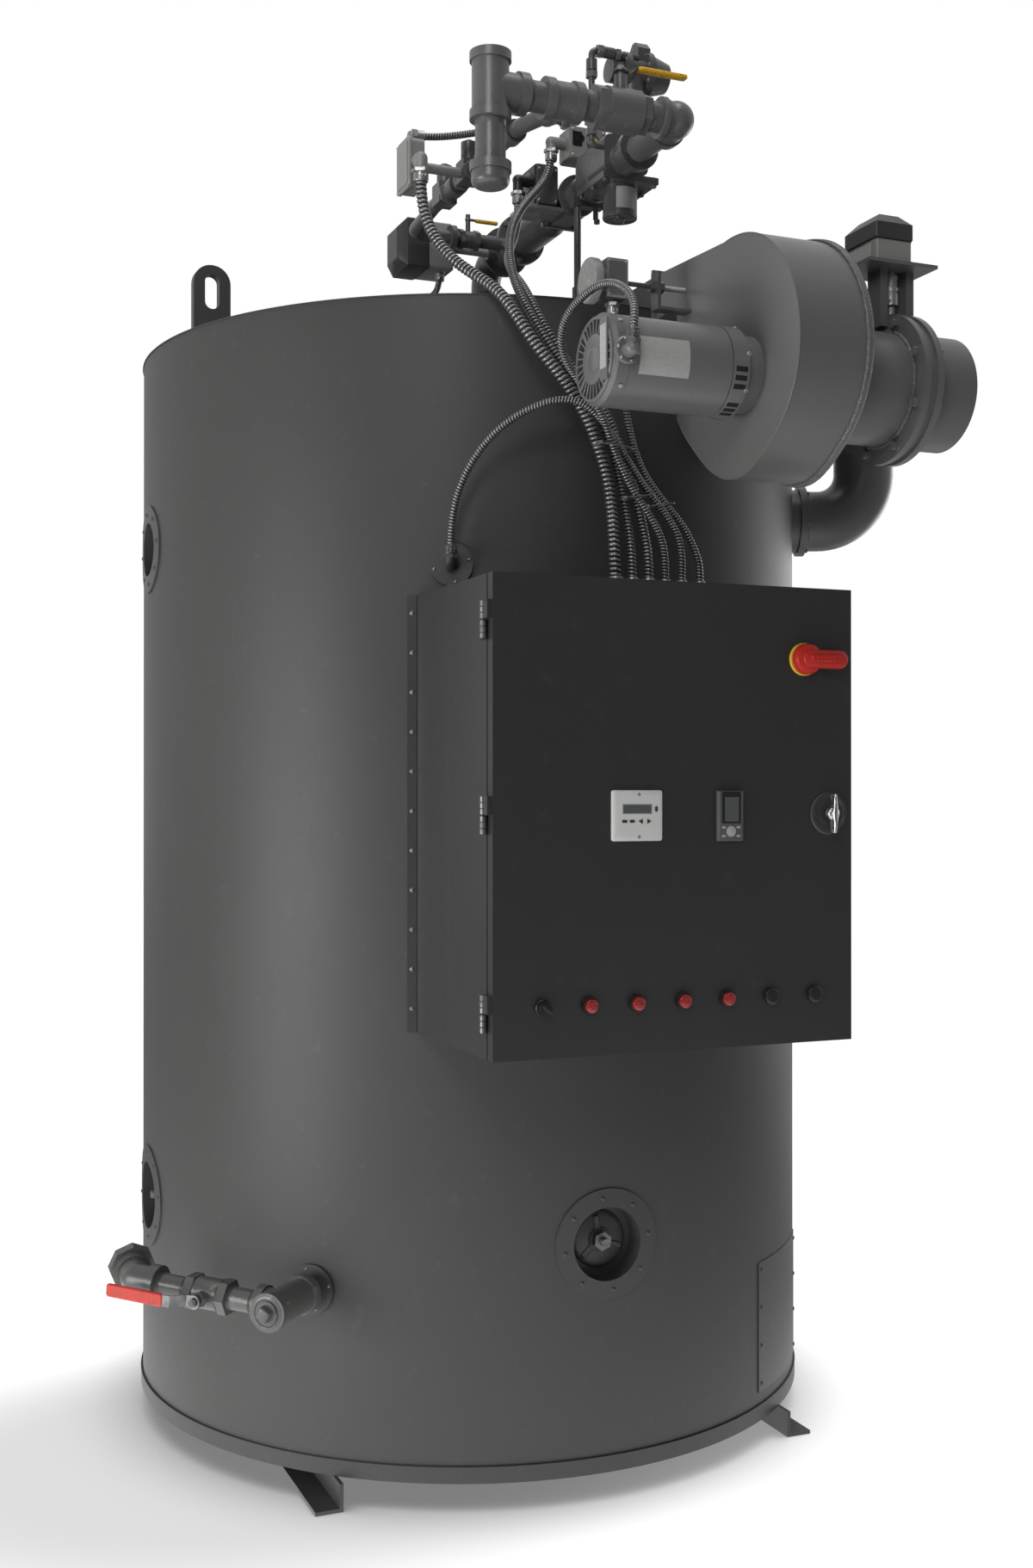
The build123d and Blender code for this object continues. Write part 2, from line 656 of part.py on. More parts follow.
def make_shutoff_valve():
    """First gas valve: union collar, body, square bottom plate and damping cylinder."""
    valve = rod((gas_x, -815, gas_z), (gas_x, -795, gas_z), 45)
    valve += rod((gas_x, -795, gas_z), (gas_x, -745, gas_z), 37)
    body = block((28, 134), (-745, -600), (2852, 2934))
    valve += fillet(body.edges().filter_by(Axis.Y), 16)
    valve += block((26, 160), (-745, -605), (2838, 2852))
    valve += rod((92, -690, 2770), (92, -690, 2838), 38)
    valve += rod((gas_x, -600, gas_z), (gas_x, -585, gas_z), 45)
    return valve


def make_regulator():
    """Regulator on the shut-off valve, with its diaphragm case and sensing pipe."""
    y, z = -715.0, 3086.0
    regulator = block((76, 136), (y - 28, y + 32), (2934, 2972))
    regulator += rod((108, y, 2960), (108, y, z), 30)
    regulator += rod((52, y, z), (82, y, z), 27)
    regulator += rod((82, y, z), (94, y, z), 42)
    regulator += rod((94, y, z), (132, y, z), 33)
    regulator += rod((132, y, z), (146, y, z), 49)
    regulator += cone((146, y, z), (190, y, z), 45, 32)
    ear = block((112, 142), (y - 26, y + 20), (z, 3152))
    regulator += chamfer(ear.edges().filter_by(Axis.X).group_by(Axis.Z)[-1], 16)
    sense_y, sense_z = -739.0, 3111.0
    points = [(28, sense_y, 2905), (0, sense_y, 2905), (0, sense_y, sense_z), (112, sense_y, sense_z)]
    regulator += bent_pipe(points, 7, 11)
    regulator += rod((0, sense_y, 3066), (0, sense_y, 3090), 12)
    return regulator + rod((14, sense_y, sense_z), (52, sense_y, sense_z), 12)


def make_indicator_box():
    """Position indicator box above the pipe between the two gas valves."""
    y = -532.0
    box = block((28, 120), (y - 28, y + 28), (2943, 3016))
    box = fillet(box.edges().filter_by(Axis.Y), 6)
    box += rod((gas_x, y, gas_z + 30), (gas_x, y, 2943), 20)
    box += rod((87, y - 28, 2985), (87, y - 34, 2985), 16)
    box += rod((28, y, 2982), (-5, y, 2982), 13) + Sphere(13).move(Location((-5, y, 2982)))
    box += rod((-5, y, 2982), (-5, y, 2949), 12)
    box += rod((46, y, 3016), (46, y, 3034), 10) + Sphere(10).move(Location((46, y, 3034)))
    return box + rod((46, y, 3034), (28, y, 3034), 10)


def make_second_valve():
    """Second gas valve with its pipe flanges and the pad for its actuator's shelf."""
    valve = rod((gas_x, -585, gas_z), (gas_x, -500, gas_z), pipe_radius + 4)
    valve += rod((gas_x, -500, gas_z), (gas_x, -490, gas_z), 48)
    valve += rod((gas_x, -490, gas_z), (gas_x, -400, gas_z), 38)
    valve += block((gas_x - 46, gas_x + 46), (-400, -388), (gas_z - 46, gas_z + 46))
    valve += rod((gas_x, -388, gas_z), (gas_x, -360, gas_z), 36)
    valve += block((54, 98), (-490, -400), (pad_z - 14, gas_z - 24))
    return valve - rod((gas_x, -532, gas_z + 30), (gas_x, -532, gas_z + 90), 20)


def make_valve_actuator():
    """Actuator box on its shelf at the left of the second valve."""
    box = block((-26, 34), (-490, -405), (pad_z, 2945))
    box = fillet(box.edges().filter_by(Axis.Z), 10)
    box += block((-52, 54), (-489, -400), (pad_z - 8, pad_z))
    box += rod((-61, -470, 2908), (-26, -470, 2908), 13) + Sphere(13).move(Location((-61, -470, 2908)))
    return box + rod((-61, -470, 2908), (-61, -470, 2864), 12)


def make_burner_feed():
    """Reducer, butterfly valve flanges and the elbow down into the windbox."""
    feed = cone((gas_x, -360, gas_z), (gas_x, -330, gas_z), 38, 46)
    feed += rod((gas_x, -330, gas_z), (gas_x, -190, gas_z), 46)
    feed += cone((gas_x, -190, gas_z), (gas_x, -160, gas_z), 46, 38)
    for y, radius, width in ((-160, 62, 14), (-146, 46, 92), (-54, 62, 14)):
        feed += rod((gas_x, y, gas_z), (gas_x, y + width, gas_z), radius)
    bend = 62.0
    points = [(gas_x, -40, gas_z), (gas_x, burner_y, gas_z), (gas_x, burner_y, windbox_high + 60)]
    feed += bent_pipe(points, 38, bend)
    return feed + rod((gas_x - 60, firing_rod_y, firing_z), (gas_x, firing_rod_y, firing_z), 16)


def make_pipe_support():
    """Rod that carries the gas train on the top plate."""
    x, y = 55.0, -545.0
    support = rod((x, y, jacket_top + 8), (x, y, 2838), 8)
    support += block((x - 40, x + 40), (y - 40, y + 40), (jacket_top, jacket_top + 8))
    support += rod((x, y, jacket_top + 60), (x, y, jacket_top + 110), 12)
    support += block((x - 14, x + 62), (y - 12, y + 12), (2838, gas_z))
    support -= rod((gas_x, -600, gas_z), (gas_x, -490, gas_z), pipe_radius + 4)
    return support + rod((x + 46, y, 2815), (x + 46, y, 2840), 6)


def make_pilot_line():
    """Pilot gas pipe with two solenoid valves and the cross pipe to the burner."""
    start_y = gas_y + 62
    line = rod((branch_x, start_y, gas_z), (branch_x, start_y + 16, gas_z), 24)
    low = gas_z - 16
    points = [(branch_x, start_y + 16, gas_z), (pilot_x, start_y + 90, gas_z), (pilot_x, -300, gas_z),
              (pilot_x, pilot_cross_y, low), (gas_x - 40, pilot_cross_y, low)]
    line += bent_pipe(points, pilot_radius, 24)
    for y in (-790, -640, -450):
        line += rod((pilot_x, y - 17, gas_z), (pilot_x, y + 17, gas_z), pilot_radius + 7)
    for y in (-530, -372):
        line += block((pilot_x - 22, pilot_x + 22), (y - 24, y + 24), (gas_z - 20, gas_z + 28))
        line += rod((pilot_x, y, gas_z + 28), (pilot_x, y, gas_z + 70), 18)
    line -= rod((gas_x, -160, gas_z), (gas_x, -146, gas_z), 62)
    line -= rod((gas_x, -146, gas_z), (gas_x, -120, gas_z), 46)
    line += rod((-112, pilot_cross_y, low), (-98, pilot_cross_y, low), 30)
    for x in (pilot_cock_x - 26, pilot_cock_x + 14):
        line += hexagon((x, pilot_cross_y, low), (x + 12, pilot_cross_y, low), 44)
    line += rod((pilot_cock_x - 14, pilot_cross_y, low), (pilot_cock_x + 14, pilot_cross_y, low), 21)
    return line + rod((pilot_cock_x, pilot_cross_y, low), (pilot_cock_x, pilot_cross_y, low + 62), 6)


def make_junction_box():
    """Shallow switch box on a nipple at the left of the pilot line."""
    x, y = -382.0, -596.0
    box = block((x, -347), (y - 39, y + 39), (2800, 2906))
    box = fillet(box.edges().filter_by(Axis.X), 12)
    box += rod((-347, -530, 2882), (pilot_x - 22, -530, 2882), 11)
    box += block((-358, -340), (-560, -515), (2866, 2898))
    box += rod((-363, y - 38, 2852), (-363, y - 59, 2852), 15) + Sphere(15).move(Location((-363, y - 59, 2852)))
    box += rod((-363, y - 59, 2852), (-363, y - 59, 2812), 15)
    box += rod((-363, y, 2900), (-363, y, 2923), 10) + Sphere(10).move(Location((-363, y, 2923)))
    return box + rod((-363, y, 2923), (-345, y, 2923), 10)


def make_panel_fittings():
    """Conduit connectors on the panel's top and on the top plate."""
    fittings = []
    for x in panel_entries:
        entry = rod((x, entry_y, panel_high), (x, entry_y, panel_high + 9), 17.5)
        fittings.append(entry + rod((x, entry_y, panel_high + 9), (x, entry_y, panel_high + 24), 14))
    x, y = plate_entry
    fittings.append(rod((x, y, jacket_top), (x, y, jacket_top + 26), 14))
    return Compound(children=fittings)


def make_flue_outlet():
    """Flue collar at the back, near the top."""
    flue = rod((0, jacket_radius - 20, 2250), (0, jacket_radius + 90, 2250), 152)
    flue += rod((0, jacket_radius - 20, 2250), (0, jacket_radius + 22, 2250), 176)
    flue -= rod((0, jacket_radius + 8, 2250), (0, jacket_radius + 200, 2250), 148)
    return flue - Cylinder(jacket_radius, 6000)


def make_steam_outlet():
    """Flanged steam nozzle on the top plate, behind the windbox."""
    x, y = 0.0, 560.0
    nozzle = rod((x, y, jacket_top), (x, y, jacket_top + 120), 57)
    nozzle += rod((x, y, jacket_top + 120), (x, y, jacket_top + 143), 114)
    return nozzle - rod((x, y, jacket_top + 43), (x, y, jacket_top + 200), 51)


# Flexible conduits run between fittings on the object. Each route is a list of points:
# the first and last are the ends in their fittings.
entry_y = -950.0
entry_z = panel_high + 24
panel_entries = (-45.0, -7.0, 31.0, 69.0, 107.0, 150.0)
plate_entry = (-350.0, -125.0)

routes = {
    "conduit_junction": (main_conduit, [
        (-363, -655, 2812), (-362, -657, 2765), (-352, -665, 2715), (-336, -690, 2665), (-314, -726, 2620),
        (-286, -764, 2585), (-258, -806, 2551), (-238, -845, 2508), (-220, -872, 2460), (-192, -888, 2412),
        (-156, -898, 2368), (-120, -904, 2322), (-88, -908, 2270), (-64, -912, 2210), (-48, -920, 2150),
        (-43, -928, 2090), (-45, -940, 2035), (-46, -948, 1985), (-45, entry_y, entry_z),
    ]),
    "conduit_indicator": (valve_conduit, [
        (-5, -532, 2949), (-12, -536, 2912), (-40, -555, 2870), (-82, -584, 2826), (-122, -622, 2780),
        (-158, -666, 2727), (-186, -718, 2665), (-202, -772, 2598), (-206, -826, 2535), (-190, -862, 2475),
        (-157, -884, 2410), (-112, -895, 2350), (-66, -903, 2290), (-34, -911, 2212), (-16, -922, 2125),
        (-8, -937, 2040), (-7, -948, 1985), (-7, entry_y, entry_z),
    ]),
    "conduit_valve": (valve_conduit, [
        (-61, -470, 2864), (-64, -476, 2818), (-84, -506, 2768), (-113, -550, 2724), (-142, -606, 2684),
        (-165, -668, 2644), (-180, -732, 2604), (-184, -790, 2565), (-180, -834, 2516), (-163, -858, 2462),
        (-128, -873, 2405), (-84, -885, 2346), (-40, -903, 2282), (-8, -912, 2205), (14, -922, 2120),
        (27, -938, 2035), (31, -948, 1985), (31, entry_y, entry_z),
    ]),
    "conduit_motor": (small_conduit, [
        (-180, -1300, 2337), (-175, -1297, 2364), (-169, -1286, 2392), (-166, -1266, 2419), (-168, -1240, 2440),
        (-174, -1212, 2455), (-182, -1182, 2462), (-190, -1150, 2460), (-198, -1112, 2450), (-204, -1074, 2434),
        (-204, -1038, 2412), (-194, -1010, 2385), (-172, -988, 2358), (-140, -972, 2330), (-106, -963, 2300),
        (-74, -956, 2262), (-46, -944, 2205), (-12, -949, 2130), (32, -955, 2070), (60, -956, 2020),
        (68, -953, 1975), (69, entry_y, entry_z),
    ]),
    "conduit_port": (small_conduit, [
        (-343.3, -785.9, 2000), (-344, -788, 2042), (-338, -803, 2110), (-316, -828, 2175), (-276, -856, 2235),
        (-222, -886, 2278), (-162, -916, 2302), (-110, -933, 2298), (-62, -935, 2258), (-20, -938, 2195),
        (22, -946, 2130), (66, -953, 2078), (98, -957, 2030), (107, -954, 1980), (107, entry_y, entry_z),
    ]),
    "conduit_air_switch": (small_conduit, [
        (-57, -960, 2480), (-55, -957, 2440), (-42, -945, 2385), (-20, -926, 2330), (2, -910, 2275),
        (18, -905, 2215), (40, -914, 2158), (76, -928, 2105), (116, -942, 2055), (142, -950, 1998),
        (150, -951, 1965), (150, entry_y, entry_z),
    ]),
    "conduit_upper": (small_conduit, [
        (-345, -596, 2923), (-312, -596, 2926), (-262, -592, 2938), (-206, -584, 2956), (-146, -572, 2978),
        (-86, -558, 3002), (-34, -544, 3022), (2, -535, 3032), (28, -532, 3034),
    ]),
    "conduit_firing": (small_conduit, [
        (-104, -60, 2794), (-108, -63, 2766), (-126, -70, 2740), (-164, -82, 2724), (-212, -95, 2717),
        (-262, -107, 2708), (-307, -117, 2688), (-336, -122, 2652), (-347, -124, 2610), (-350, -125, 2568.6),
    ]),
}


def conduit(route, diameter):
    """Conduit tube along straight runs joined by the largest tangent arcs that fit."""
    points = [Vector(*p) for p in route]
    radii = []
    for before, corner, after in zip(points, points[1:], points[2:]):
        run = min((corner - before).length, (after - corner).length)
        turn = (corner - before).get_angle(after - corner)
        radii.append(0.45 * run / tan(radians(turn / 2)))
    path = FilletPolyline(*points, radius=radii)
    tube = sweep(Plane(origin=points[0], z_dir=points[1] - points[0]) * Circle(diameter / 2), path=path)
    return tube, path.length, min(radii)


def main():
    """Build and write every sub-part."""
    plate = Circle(jacket_radius)
    save("base_rails", make_rails())
    save("bottom_plate", extrude(Pos(0, 0, base_height) * plate, amount=end_plate))
    save("top_plate", extrude(Pos(0, 0, jacket_top - end_plate) * plate, amount=end_plate))
    low, high = base_height + end_plate, jacket_top - end_plate
    save("pressure_vessel", upright_tube(vessel_radius, vessel_wall, low, high))
    save("jacket", make_jacket())
    save("lifting_lugs", make_lugs())
    ports = [lined_port(angle, handhole_height, handhole_ring_radius, handhole_bore)
             for angle in handhole_angles.values()]
    ports.append(lined_port(180.0, port_height, port_ring_radius, port_bore))
    save("lined_ports", Compound(children=ports))
    save("handhole_covers", make_handhole_covers())
    save("access_panel", make_access_panel())
    save("pipe_rosettes", make_rosettes())
    save("flue_outlet", make_flue_outlet())
    save("steam_outlet", make_steam_outlet())
    piping, valve, outlet = make_blowdown()
    save("blowdown_piping", Compound(children=[piping, outlet]))
    save("blowdown_valve", valve)
    save("blowdown_lever", make_blowdown_lever())
    save("panel_box", make_enclosure() + make_skirt())
    save("mounting_plate", make_mounting_plate())
    save("door_hinges", make_hinges())
    save("conduit_fittings", make_panel_fittings())
    save("panel_door", make_door())
    save("disconnect_ring", door_disc(disconnect_place, disconnect_ring, 0, 5) - door_disc(disconnect_place, 7, -1, 8))
    save("disconnect_handle", make_disconnect_handle())
    save("latch_plate", door_disc(latch_place, 43, 0, 5) - door_disc(latch_place, 7, -1, 8))
    save("latch_handle", make_latch_handle())
    save("panel_display", door_box(display_place, 108, 98, 0, 8))
    lights = [door_disc((x, button_row), button_radius, 0, 18) for x in light_places]
    save("pilot_lights", Compound(children=lights))
    bezel = door_disc((selector_x, button_row), button_radius, 0, 9)
    controls = [bezel - door_disc((selector_x, button_row), 6, 2, 10)]
    controls += [door_disc((x, button_row), button_radius, 0, 12) for x in cap_places]
    controls.append(door_box(controller_place, 56, 99, 0, 10))
    save("panel_controls", Compound(children=controls))
    knob = door_disc((selector_x, button_row), 12, 14, 30)
    save("selector_knob", knob + door_disc((selector_x, button_row), 6 - running_gap, 3, 15))
    save("scroll_housing", make_scroll())
    save("windbox", make_windbox())
    save("blower_motor", make_motor())
    save("inlet_duct", make_inlet_duct())
    save("damper_body", make_damper())
    save("air_inlet", make_air_inlet())
    save("actuator_stand", make_actuator_stand())
    save("actuators", make_actuators())
    save("recirculation_pipe", make_recirculation_pipe())
    save("air_switch", make_air_switch())
    save("gas_piping", make_gas_piping())
    save("gas_cock", make_gas_cock())
    save("gas_cock_lever", valve_lever((cock_x, gas_y, lever_z), 153, 17, 5, 9))
    save("shutoff_valve", make_shutoff_valve())
    save("gas_regulator", make_regulator())
    save("indicator_box", make_indicator_box())
    save("second_valve", make_second_valve())
    save("valve_actuator", make_valve_actuator())
    save("burner_feed", make_burner_feed())
    save("pipe_support", make_pipe_support())
    save("pilot_line", make_pilot_line())
    save("pilot_cock_lever", valve_lever((pilot_cock_x, pilot_cross_y, gas_z + 32), 80, 10, 4))
    save("junction_box", make_junction_box())
    for name, (diameter, route) in routes.items():
        tube, length, tightest = conduit(route, diameter)
        save(name, tube)
        section = 3.14159 * diameter**2 / 4
        print(name, "length", round(length), "tightest", round(tightest), "=", round(tightest / diameter, 1),
              "diameters, volume ratio", round(tube.volume / (section * length), 4))


main()
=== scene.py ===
"""Looks of a vertical industrial boiler with its panel, blower, gas train and conduits.

Metres. The origin is on the boiler's axis at floor level, +Z is up, the control panel
faces -Y and the blower's air inlet points towards +X.
"""

import logging
import math
from dataclasses import dataclass, field
from enum import Enum
from typing import Any, Callable, Iterable, Optional, Sequence, Union

import bmesh
import bpy
import numpy as np
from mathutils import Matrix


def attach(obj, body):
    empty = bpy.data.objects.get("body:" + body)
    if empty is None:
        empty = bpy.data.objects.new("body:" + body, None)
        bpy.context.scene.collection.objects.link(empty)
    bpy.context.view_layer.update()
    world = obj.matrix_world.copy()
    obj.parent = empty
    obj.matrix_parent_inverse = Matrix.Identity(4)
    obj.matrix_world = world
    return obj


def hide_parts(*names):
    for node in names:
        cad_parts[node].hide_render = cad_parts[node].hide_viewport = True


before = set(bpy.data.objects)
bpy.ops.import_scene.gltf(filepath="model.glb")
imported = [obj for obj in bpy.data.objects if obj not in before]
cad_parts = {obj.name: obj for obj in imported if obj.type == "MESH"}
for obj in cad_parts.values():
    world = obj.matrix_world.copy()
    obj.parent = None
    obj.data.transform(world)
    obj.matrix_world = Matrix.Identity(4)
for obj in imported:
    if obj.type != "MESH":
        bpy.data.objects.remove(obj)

log = logging.getLogger("boiler")

Vec3 = tuple[float, float, float]
Colour = tuple[float, float, float]
Outline = Callable[[float], np.ndarray]
THREAD_PITCH = 0.0023
THREAD_CREST = 0.0011
WASHER_THICKNESS = 0.0016
HEAD_CHAMFER = 0.06
HEAD_SIDES = 14
DOME_LEVELS = (0.15, 0.3575, 0.565, 0.7725, 0.98)
CROSSWISE = (0.31, 0.17, 0.93)
UPRIGHT = (0.0, 0.0, 1.0)


class Body(str, Enum):
    """The moving bodies of the frame."""

    BOILER = "boiler"
    DOOR = "door"
    DISCONNECT = "disconnect"
    LATCH = "latch"
    SELECTOR = "selector"
    GAS_LEVER = "gas_lever"
    PILOT_LEVER = "pilot_lever"
    BLOWDOWN = "blowdown_handle"


# Shader maths


class Sock:
    """An output socket that adds Math nodes when it is used in an expression."""

    def __init__(self, graph: "Graph", socket: bpy.types.NodeSocket) -> None:
        """Wrap one socket of a graph."""
        self.graph = graph
        self.socket = socket

    def _maths(self, operation: str, first: Any, second: Any = None) -> "Sock":
        """Add one Math node.

        Args:
            operation: Name of the Math node's operation.
            first: First value or socket.
            second: Second value or socket, where the operation takes one.

        Returns:
            The result's socket.
        """
        inputs = {0: first} if second is None else {0: first, 1: second}
        return self.graph.node("ShaderNodeMath", {"operation": operation}, inputs)

    def __add__(self, other: Any) -> "Sock":
        """Sum."""
        return self._maths("ADD", self, other)

    __radd__ = __add__

    def __sub__(self, other: Any) -> "Sock":
        """Difference."""
        return self._maths("SUBTRACT", self, other)

    def __rsub__(self, other: Any) -> "Sock":
        """Difference with the value first."""
        return self._maths("SUBTRACT", other, self)

    def __mul__(self, other: Any) -> "Sock":
        """Product."""
        return self._maths("MULTIPLY", self, other)

    __rmul__ = __mul__

    def __pow__(self, other: Any) -> "Sock":
        """Power."""
        return self._maths("POWER", self, other)

    def ramp(self, low: float, high: float) -> "Sock":
        """Smooth step from nought at the low limit to one at the high limit.

        Args:
            low: Value that gives nought.
            high: Value that gives one.

        Returns:
            The step's socket.
        """
        settings = {"interpolation_type": "SMOOTHSTEP"}
        return self.graph.node("ShaderNodeMapRange", settings, {0: self, 1: low, 2: high, 3: 0.0, 4: 1.0})


class Graph:
    """Node tree of one material, with a Principled shader in front of its output."""

    def __init__(self, name: str) -> None:
        """Start a material with that name."""
        self.material = bpy.data.materials.new(name)
        self.material.use_nodes = True
        self.tree = self.material.node_tree
        self.tree.nodes.clear()
        self.shader = self.tree.nodes.new("ShaderNodeBsdfPrincipled")
        self.output = self.tree.nodes.new("ShaderNodeOutputMaterial")
        self.tree.links.new(self.shader.outputs[0], self.output.inputs["Surface"])
        self._place: Optional[Sock] = None

    def join(self, value: Any, target: bpy.types.NodeSocket) -> None:
        """Give a value or a link to an input socket."""
        if isinstance(value, Sock):
            self.tree.links.new(value.socket, target)
        elif isinstance(value, tuple) and len(value) == 3 and target.type == "RGBA":
            target.default_value = (*value, 1.0)
        else:
            target.default_value = value

    def node(self, kind: str, settings: Optional[dict[str, Any]] = None,
             inputs: Optional[dict[Union[int, str], Any]] = None, output: Union[int, str] = 0) -> Sock:
        """Add one node.

        Args:
            kind: Type of the node.
            settings: Properties, which are set before the sockets.
            inputs: Values or links by the name or number of the input.
            output: Name or number of the output to return.

        Returns:
            The chosen output's socket.
        """
        made = self.tree.nodes.new(kind)
        for key, value in (settings or {}).items():
            setattr(made, key, value)
        for key, value in (inputs or {}).items():
            self.join(value, made.inputs[key])
        return Sock(self, made.outputs[output])

    def place(self) -> Sock:
        """Object coordinates, shared by all the patterns of the material."""
        if self._place is None:
            self._place = self.node("ShaderNodeTexCoord", output="Object")
        return self._place

    def noise(self, scale: float, detail: float = 2.0, stretch: Vec3 = (1.0, 1.0, 1.0)) -> Sock:
        """Noise on the object's coordinates.

        Args:
            scale: Number of blobs in a metre.
            detail: Number of finer layers.
            stretch: Factors on the three coordinates.

        Returns:
            The noise value, about one half in the middle.
        """
        place = self.node("ShaderNodeMapping", None, {"Vector": self.place(), "Scale": stretch})
        return self.node("ShaderNodeTexNoise", None, {"Vector": place, "Scale": scale, "Detail": detail})

    def mix(self, share: Any, first: Any, second: Any) -> Sock:
        """Mix two colours.

        Args:
            share: Share of the second colour.
            first: First colour.
            second: Second colour.

        Returns:
            The mixed colour's socket.
        """
        return self.node("ShaderNodeMix", {"data_type": "RGBA"}, {0: share, 6: first, 7: second}, 2)

    def bump(self, height: Sock, depth: float) -> None:
        """Roughen the surface: height from nought to one over a depth in metres."""
        normal = self.node("ShaderNodeBump", None, {"Strength": 1.0, "Distance": depth, "Height": height})
        self.put("Normal", normal)

    def put(self, socket: str, value: Any) -> None:
        """Set an input of the Principled shader."""
        self.join(value, self.shader.inputs[socket])


# Finishes

made_materials: dict[str, bpy.types.Material] = {}


def scaled(colour: Colour, factor: float) -> Colour:
    """Colour times a factor."""
    return tuple(min(1.0, part * factor) for part in colour)


@dataclass(frozen=True)
class Finish:
    """A finish with a colour and a roughness; the kinds below add their own pattern."""

    name: str
    colour: Colour
    roughness: float = 0.5

    def material(self) -> bpy.types.Material:
        """Make the material once and return it."""
        if self.name not in made_materials:
            graph = Graph(self.name)
            self.dress(graph)
            made_materials[self.name] = graph.material
        return made_materials[self.name]

    def dress(self, graph: Graph) -> None:
        """Fill the material's nodes."""
        raise NotImplementedError


@dataclass(frozen=True)
class Paint(Finish):
    """Sprayed paint on steel: faint clouds, dust and orange peel."""

    cloud: float = 0.07
    peel: float = 0.00012
    peel_scale: float = 420.0
    cast: float = 0.0
    dust: float = 0.05
    shine: float = 0.5

    def dress(self, graph: Graph) -> None:
        """Colour = paint varied by broad and fine noise; height = fine noise."""
        broad = graph.noise(1.7, 4.0)
        fine = graph.noise(90.0, 3.0)
        tone = broad.ramp(0.3, 0.7) * 0.7 + fine * 0.3
        painted = graph.mix(tone, scaled(self.colour, 1 - self.cloud), scaled(self.colour, 1 + self.cloud))
        specks = graph.noise(33.0, 5.0).ramp(0.62, 0.74)
        graph.put("Base Color", graph.mix(specks * self.dust, painted, (0.42, 0.41, 0.39)))
        graph.put("Roughness", broad * 0.14 + fine * 0.08 + (self.roughness - 0.11))
        graph.put("Specular IOR Level", self.shine)
        height = graph.noise(self.peel_scale, 2.0)
        if self.cast:
            height = height * 0.25 + graph.noise(140.0, 3.0) * 0.75
        graph.bump(height, self.cast or self.peel)


@dataclass(frozen=True)
class BareMetal(Finish):
    """Plated or bare metal with fine scratches and dull patches."""

    scratch: float = 0.00005
    tarnish: float = 0.3

    def dress(self, graph: Graph) -> None:
        """Colour falls in tarnished patches, where the surface is also rougher."""
        patch = graph.noise(46.0, 4.0).ramp(0.42, 0.68)
        lines = graph.noise(120.0, 2.0, (1.0, 1.0, 9.0))
        graph.put("Base Color", graph.mix(patch * self.tarnish, self.colour, scaled(self.colour, 0.45)))
        graph.put("Roughness", patch * 0.22 + lines * 0.12 + (self.roughness - 0.1))
        graph.put("Metallic", 1.0 - patch * 0.15)
        graph.bump(lines, self.scratch)


@dataclass(frozen=True)
class Plastic(Finish):
    """Moulded plastic with a fine grain."""

    grain: float = 0.00004
    coat: float = 0.0

    def dress(self, graph: Graph) -> None:
        """Colour nearly even; height = fine grain."""
        grain = graph.noise(900.0, 2.0)
        cloud = graph.noise(24.0, 3.0)
        graph.put("Base Color", graph.mix(cloud, scaled(self.colour, 0.93), scaled(self.colour, 1.05)))
        graph.put("Roughness", grain * 0.1 + cloud * 0.08 + (self.roughness - 0.09))
        graph.put("Coat Weight", self.coat)
        graph.bump(grain, self.grain)


@dataclass(frozen=True)
class Dipped(Finish):
    """Dipped vinyl grip: soft, dimpled and a little dirty."""

    def dress(self, graph: Graph) -> None:
        """Colour darkens in blotches; height = close dimples."""
        dimples = graph.noise(520.0, 1.0)
        dirt = graph.noise(95.0, 4.0).ramp(0.5, 0.72)
        dark = graph.mix(0.5, scaled(self.colour, 0.5), (0.16, 0.1, 0.05))
        graph.put("Base Color", graph.mix(dirt * 0.75, self.colour, dark))
        graph.put("Roughness", dirt * 0.2 + self.roughness)
        graph.bump(dimples, 0.0004)


@dataclass(frozen=True)
class Ribbed(Finish):
    """Wound metal strip of a flexible conduit, with painted shade between its turns."""

    # near black: painted shade in the grooves between the turns
    groove: Colour = (0.01, 0.01, 0.01)

    def dress(self, graph: Graph) -> None:
        """Colour from the depth that the mesh carries: strip on the turns, painted shade between them."""
        depth = graph.node("ShaderNodeAttribute", {"attribute_name": "groove"}, output="Fac")
        wear = graph.noise(60.0, 3.0)
        strip = graph.mix(wear, scaled(self.colour, 0.75), scaled(self.colour, 1.35))
        # painted shade: the grooves turn near black and lose their metal sheen
        graph.put("Base Color", graph.mix(depth.ramp(0.1, 0.6), strip, self.groove))
        graph.put("Roughness", wear * 0.2 + depth * 0.25 + (self.roughness - 0.1))
        graph.put("Metallic", 0.75 - depth * 0.7)
        graph.bump(graph.noise(700.0, 2.0), 0.00005)


@dataclass(frozen=True)
class WeldBead(Finish):
    """Painted weld: short overlapping ripples along the seam."""

    def dress(self, graph: Graph) -> None:
        """Colour and height follow a lumpy noise with bright spots."""
        lumps = graph.noise(170.0, 3.0)
        spots = graph.noise(310.0, 2.0).ramp(0.56, 0.7)
        graph.put("Base Color", graph.mix(spots, self.colour, scaled(self.colour, 2.6)))
        graph.put("Roughness", lumps * 0.3 + (self.roughness - 0.15))
        graph.bump(lumps, 0.0016)


@dataclass(frozen=True)
class Sticker(Finish):
    """Plain label, slightly soiled, with nothing printed on it."""

    def dress(self, graph: Graph) -> None:
        """Colour greys in faint smears."""
        smear = graph.noise(70.0, 4.0, (1.0, 1.0, 2.5)).ramp(0.4, 0.75)
        graph.put("Base Color", graph.mix(smear * 0.35, self.colour, scaled(self.colour, 0.7)))
        graph.put("Roughness", smear * 0.15 + (self.roughness - 0.05))
        graph.bump(graph.noise(400.0, 2.0), 0.00004)


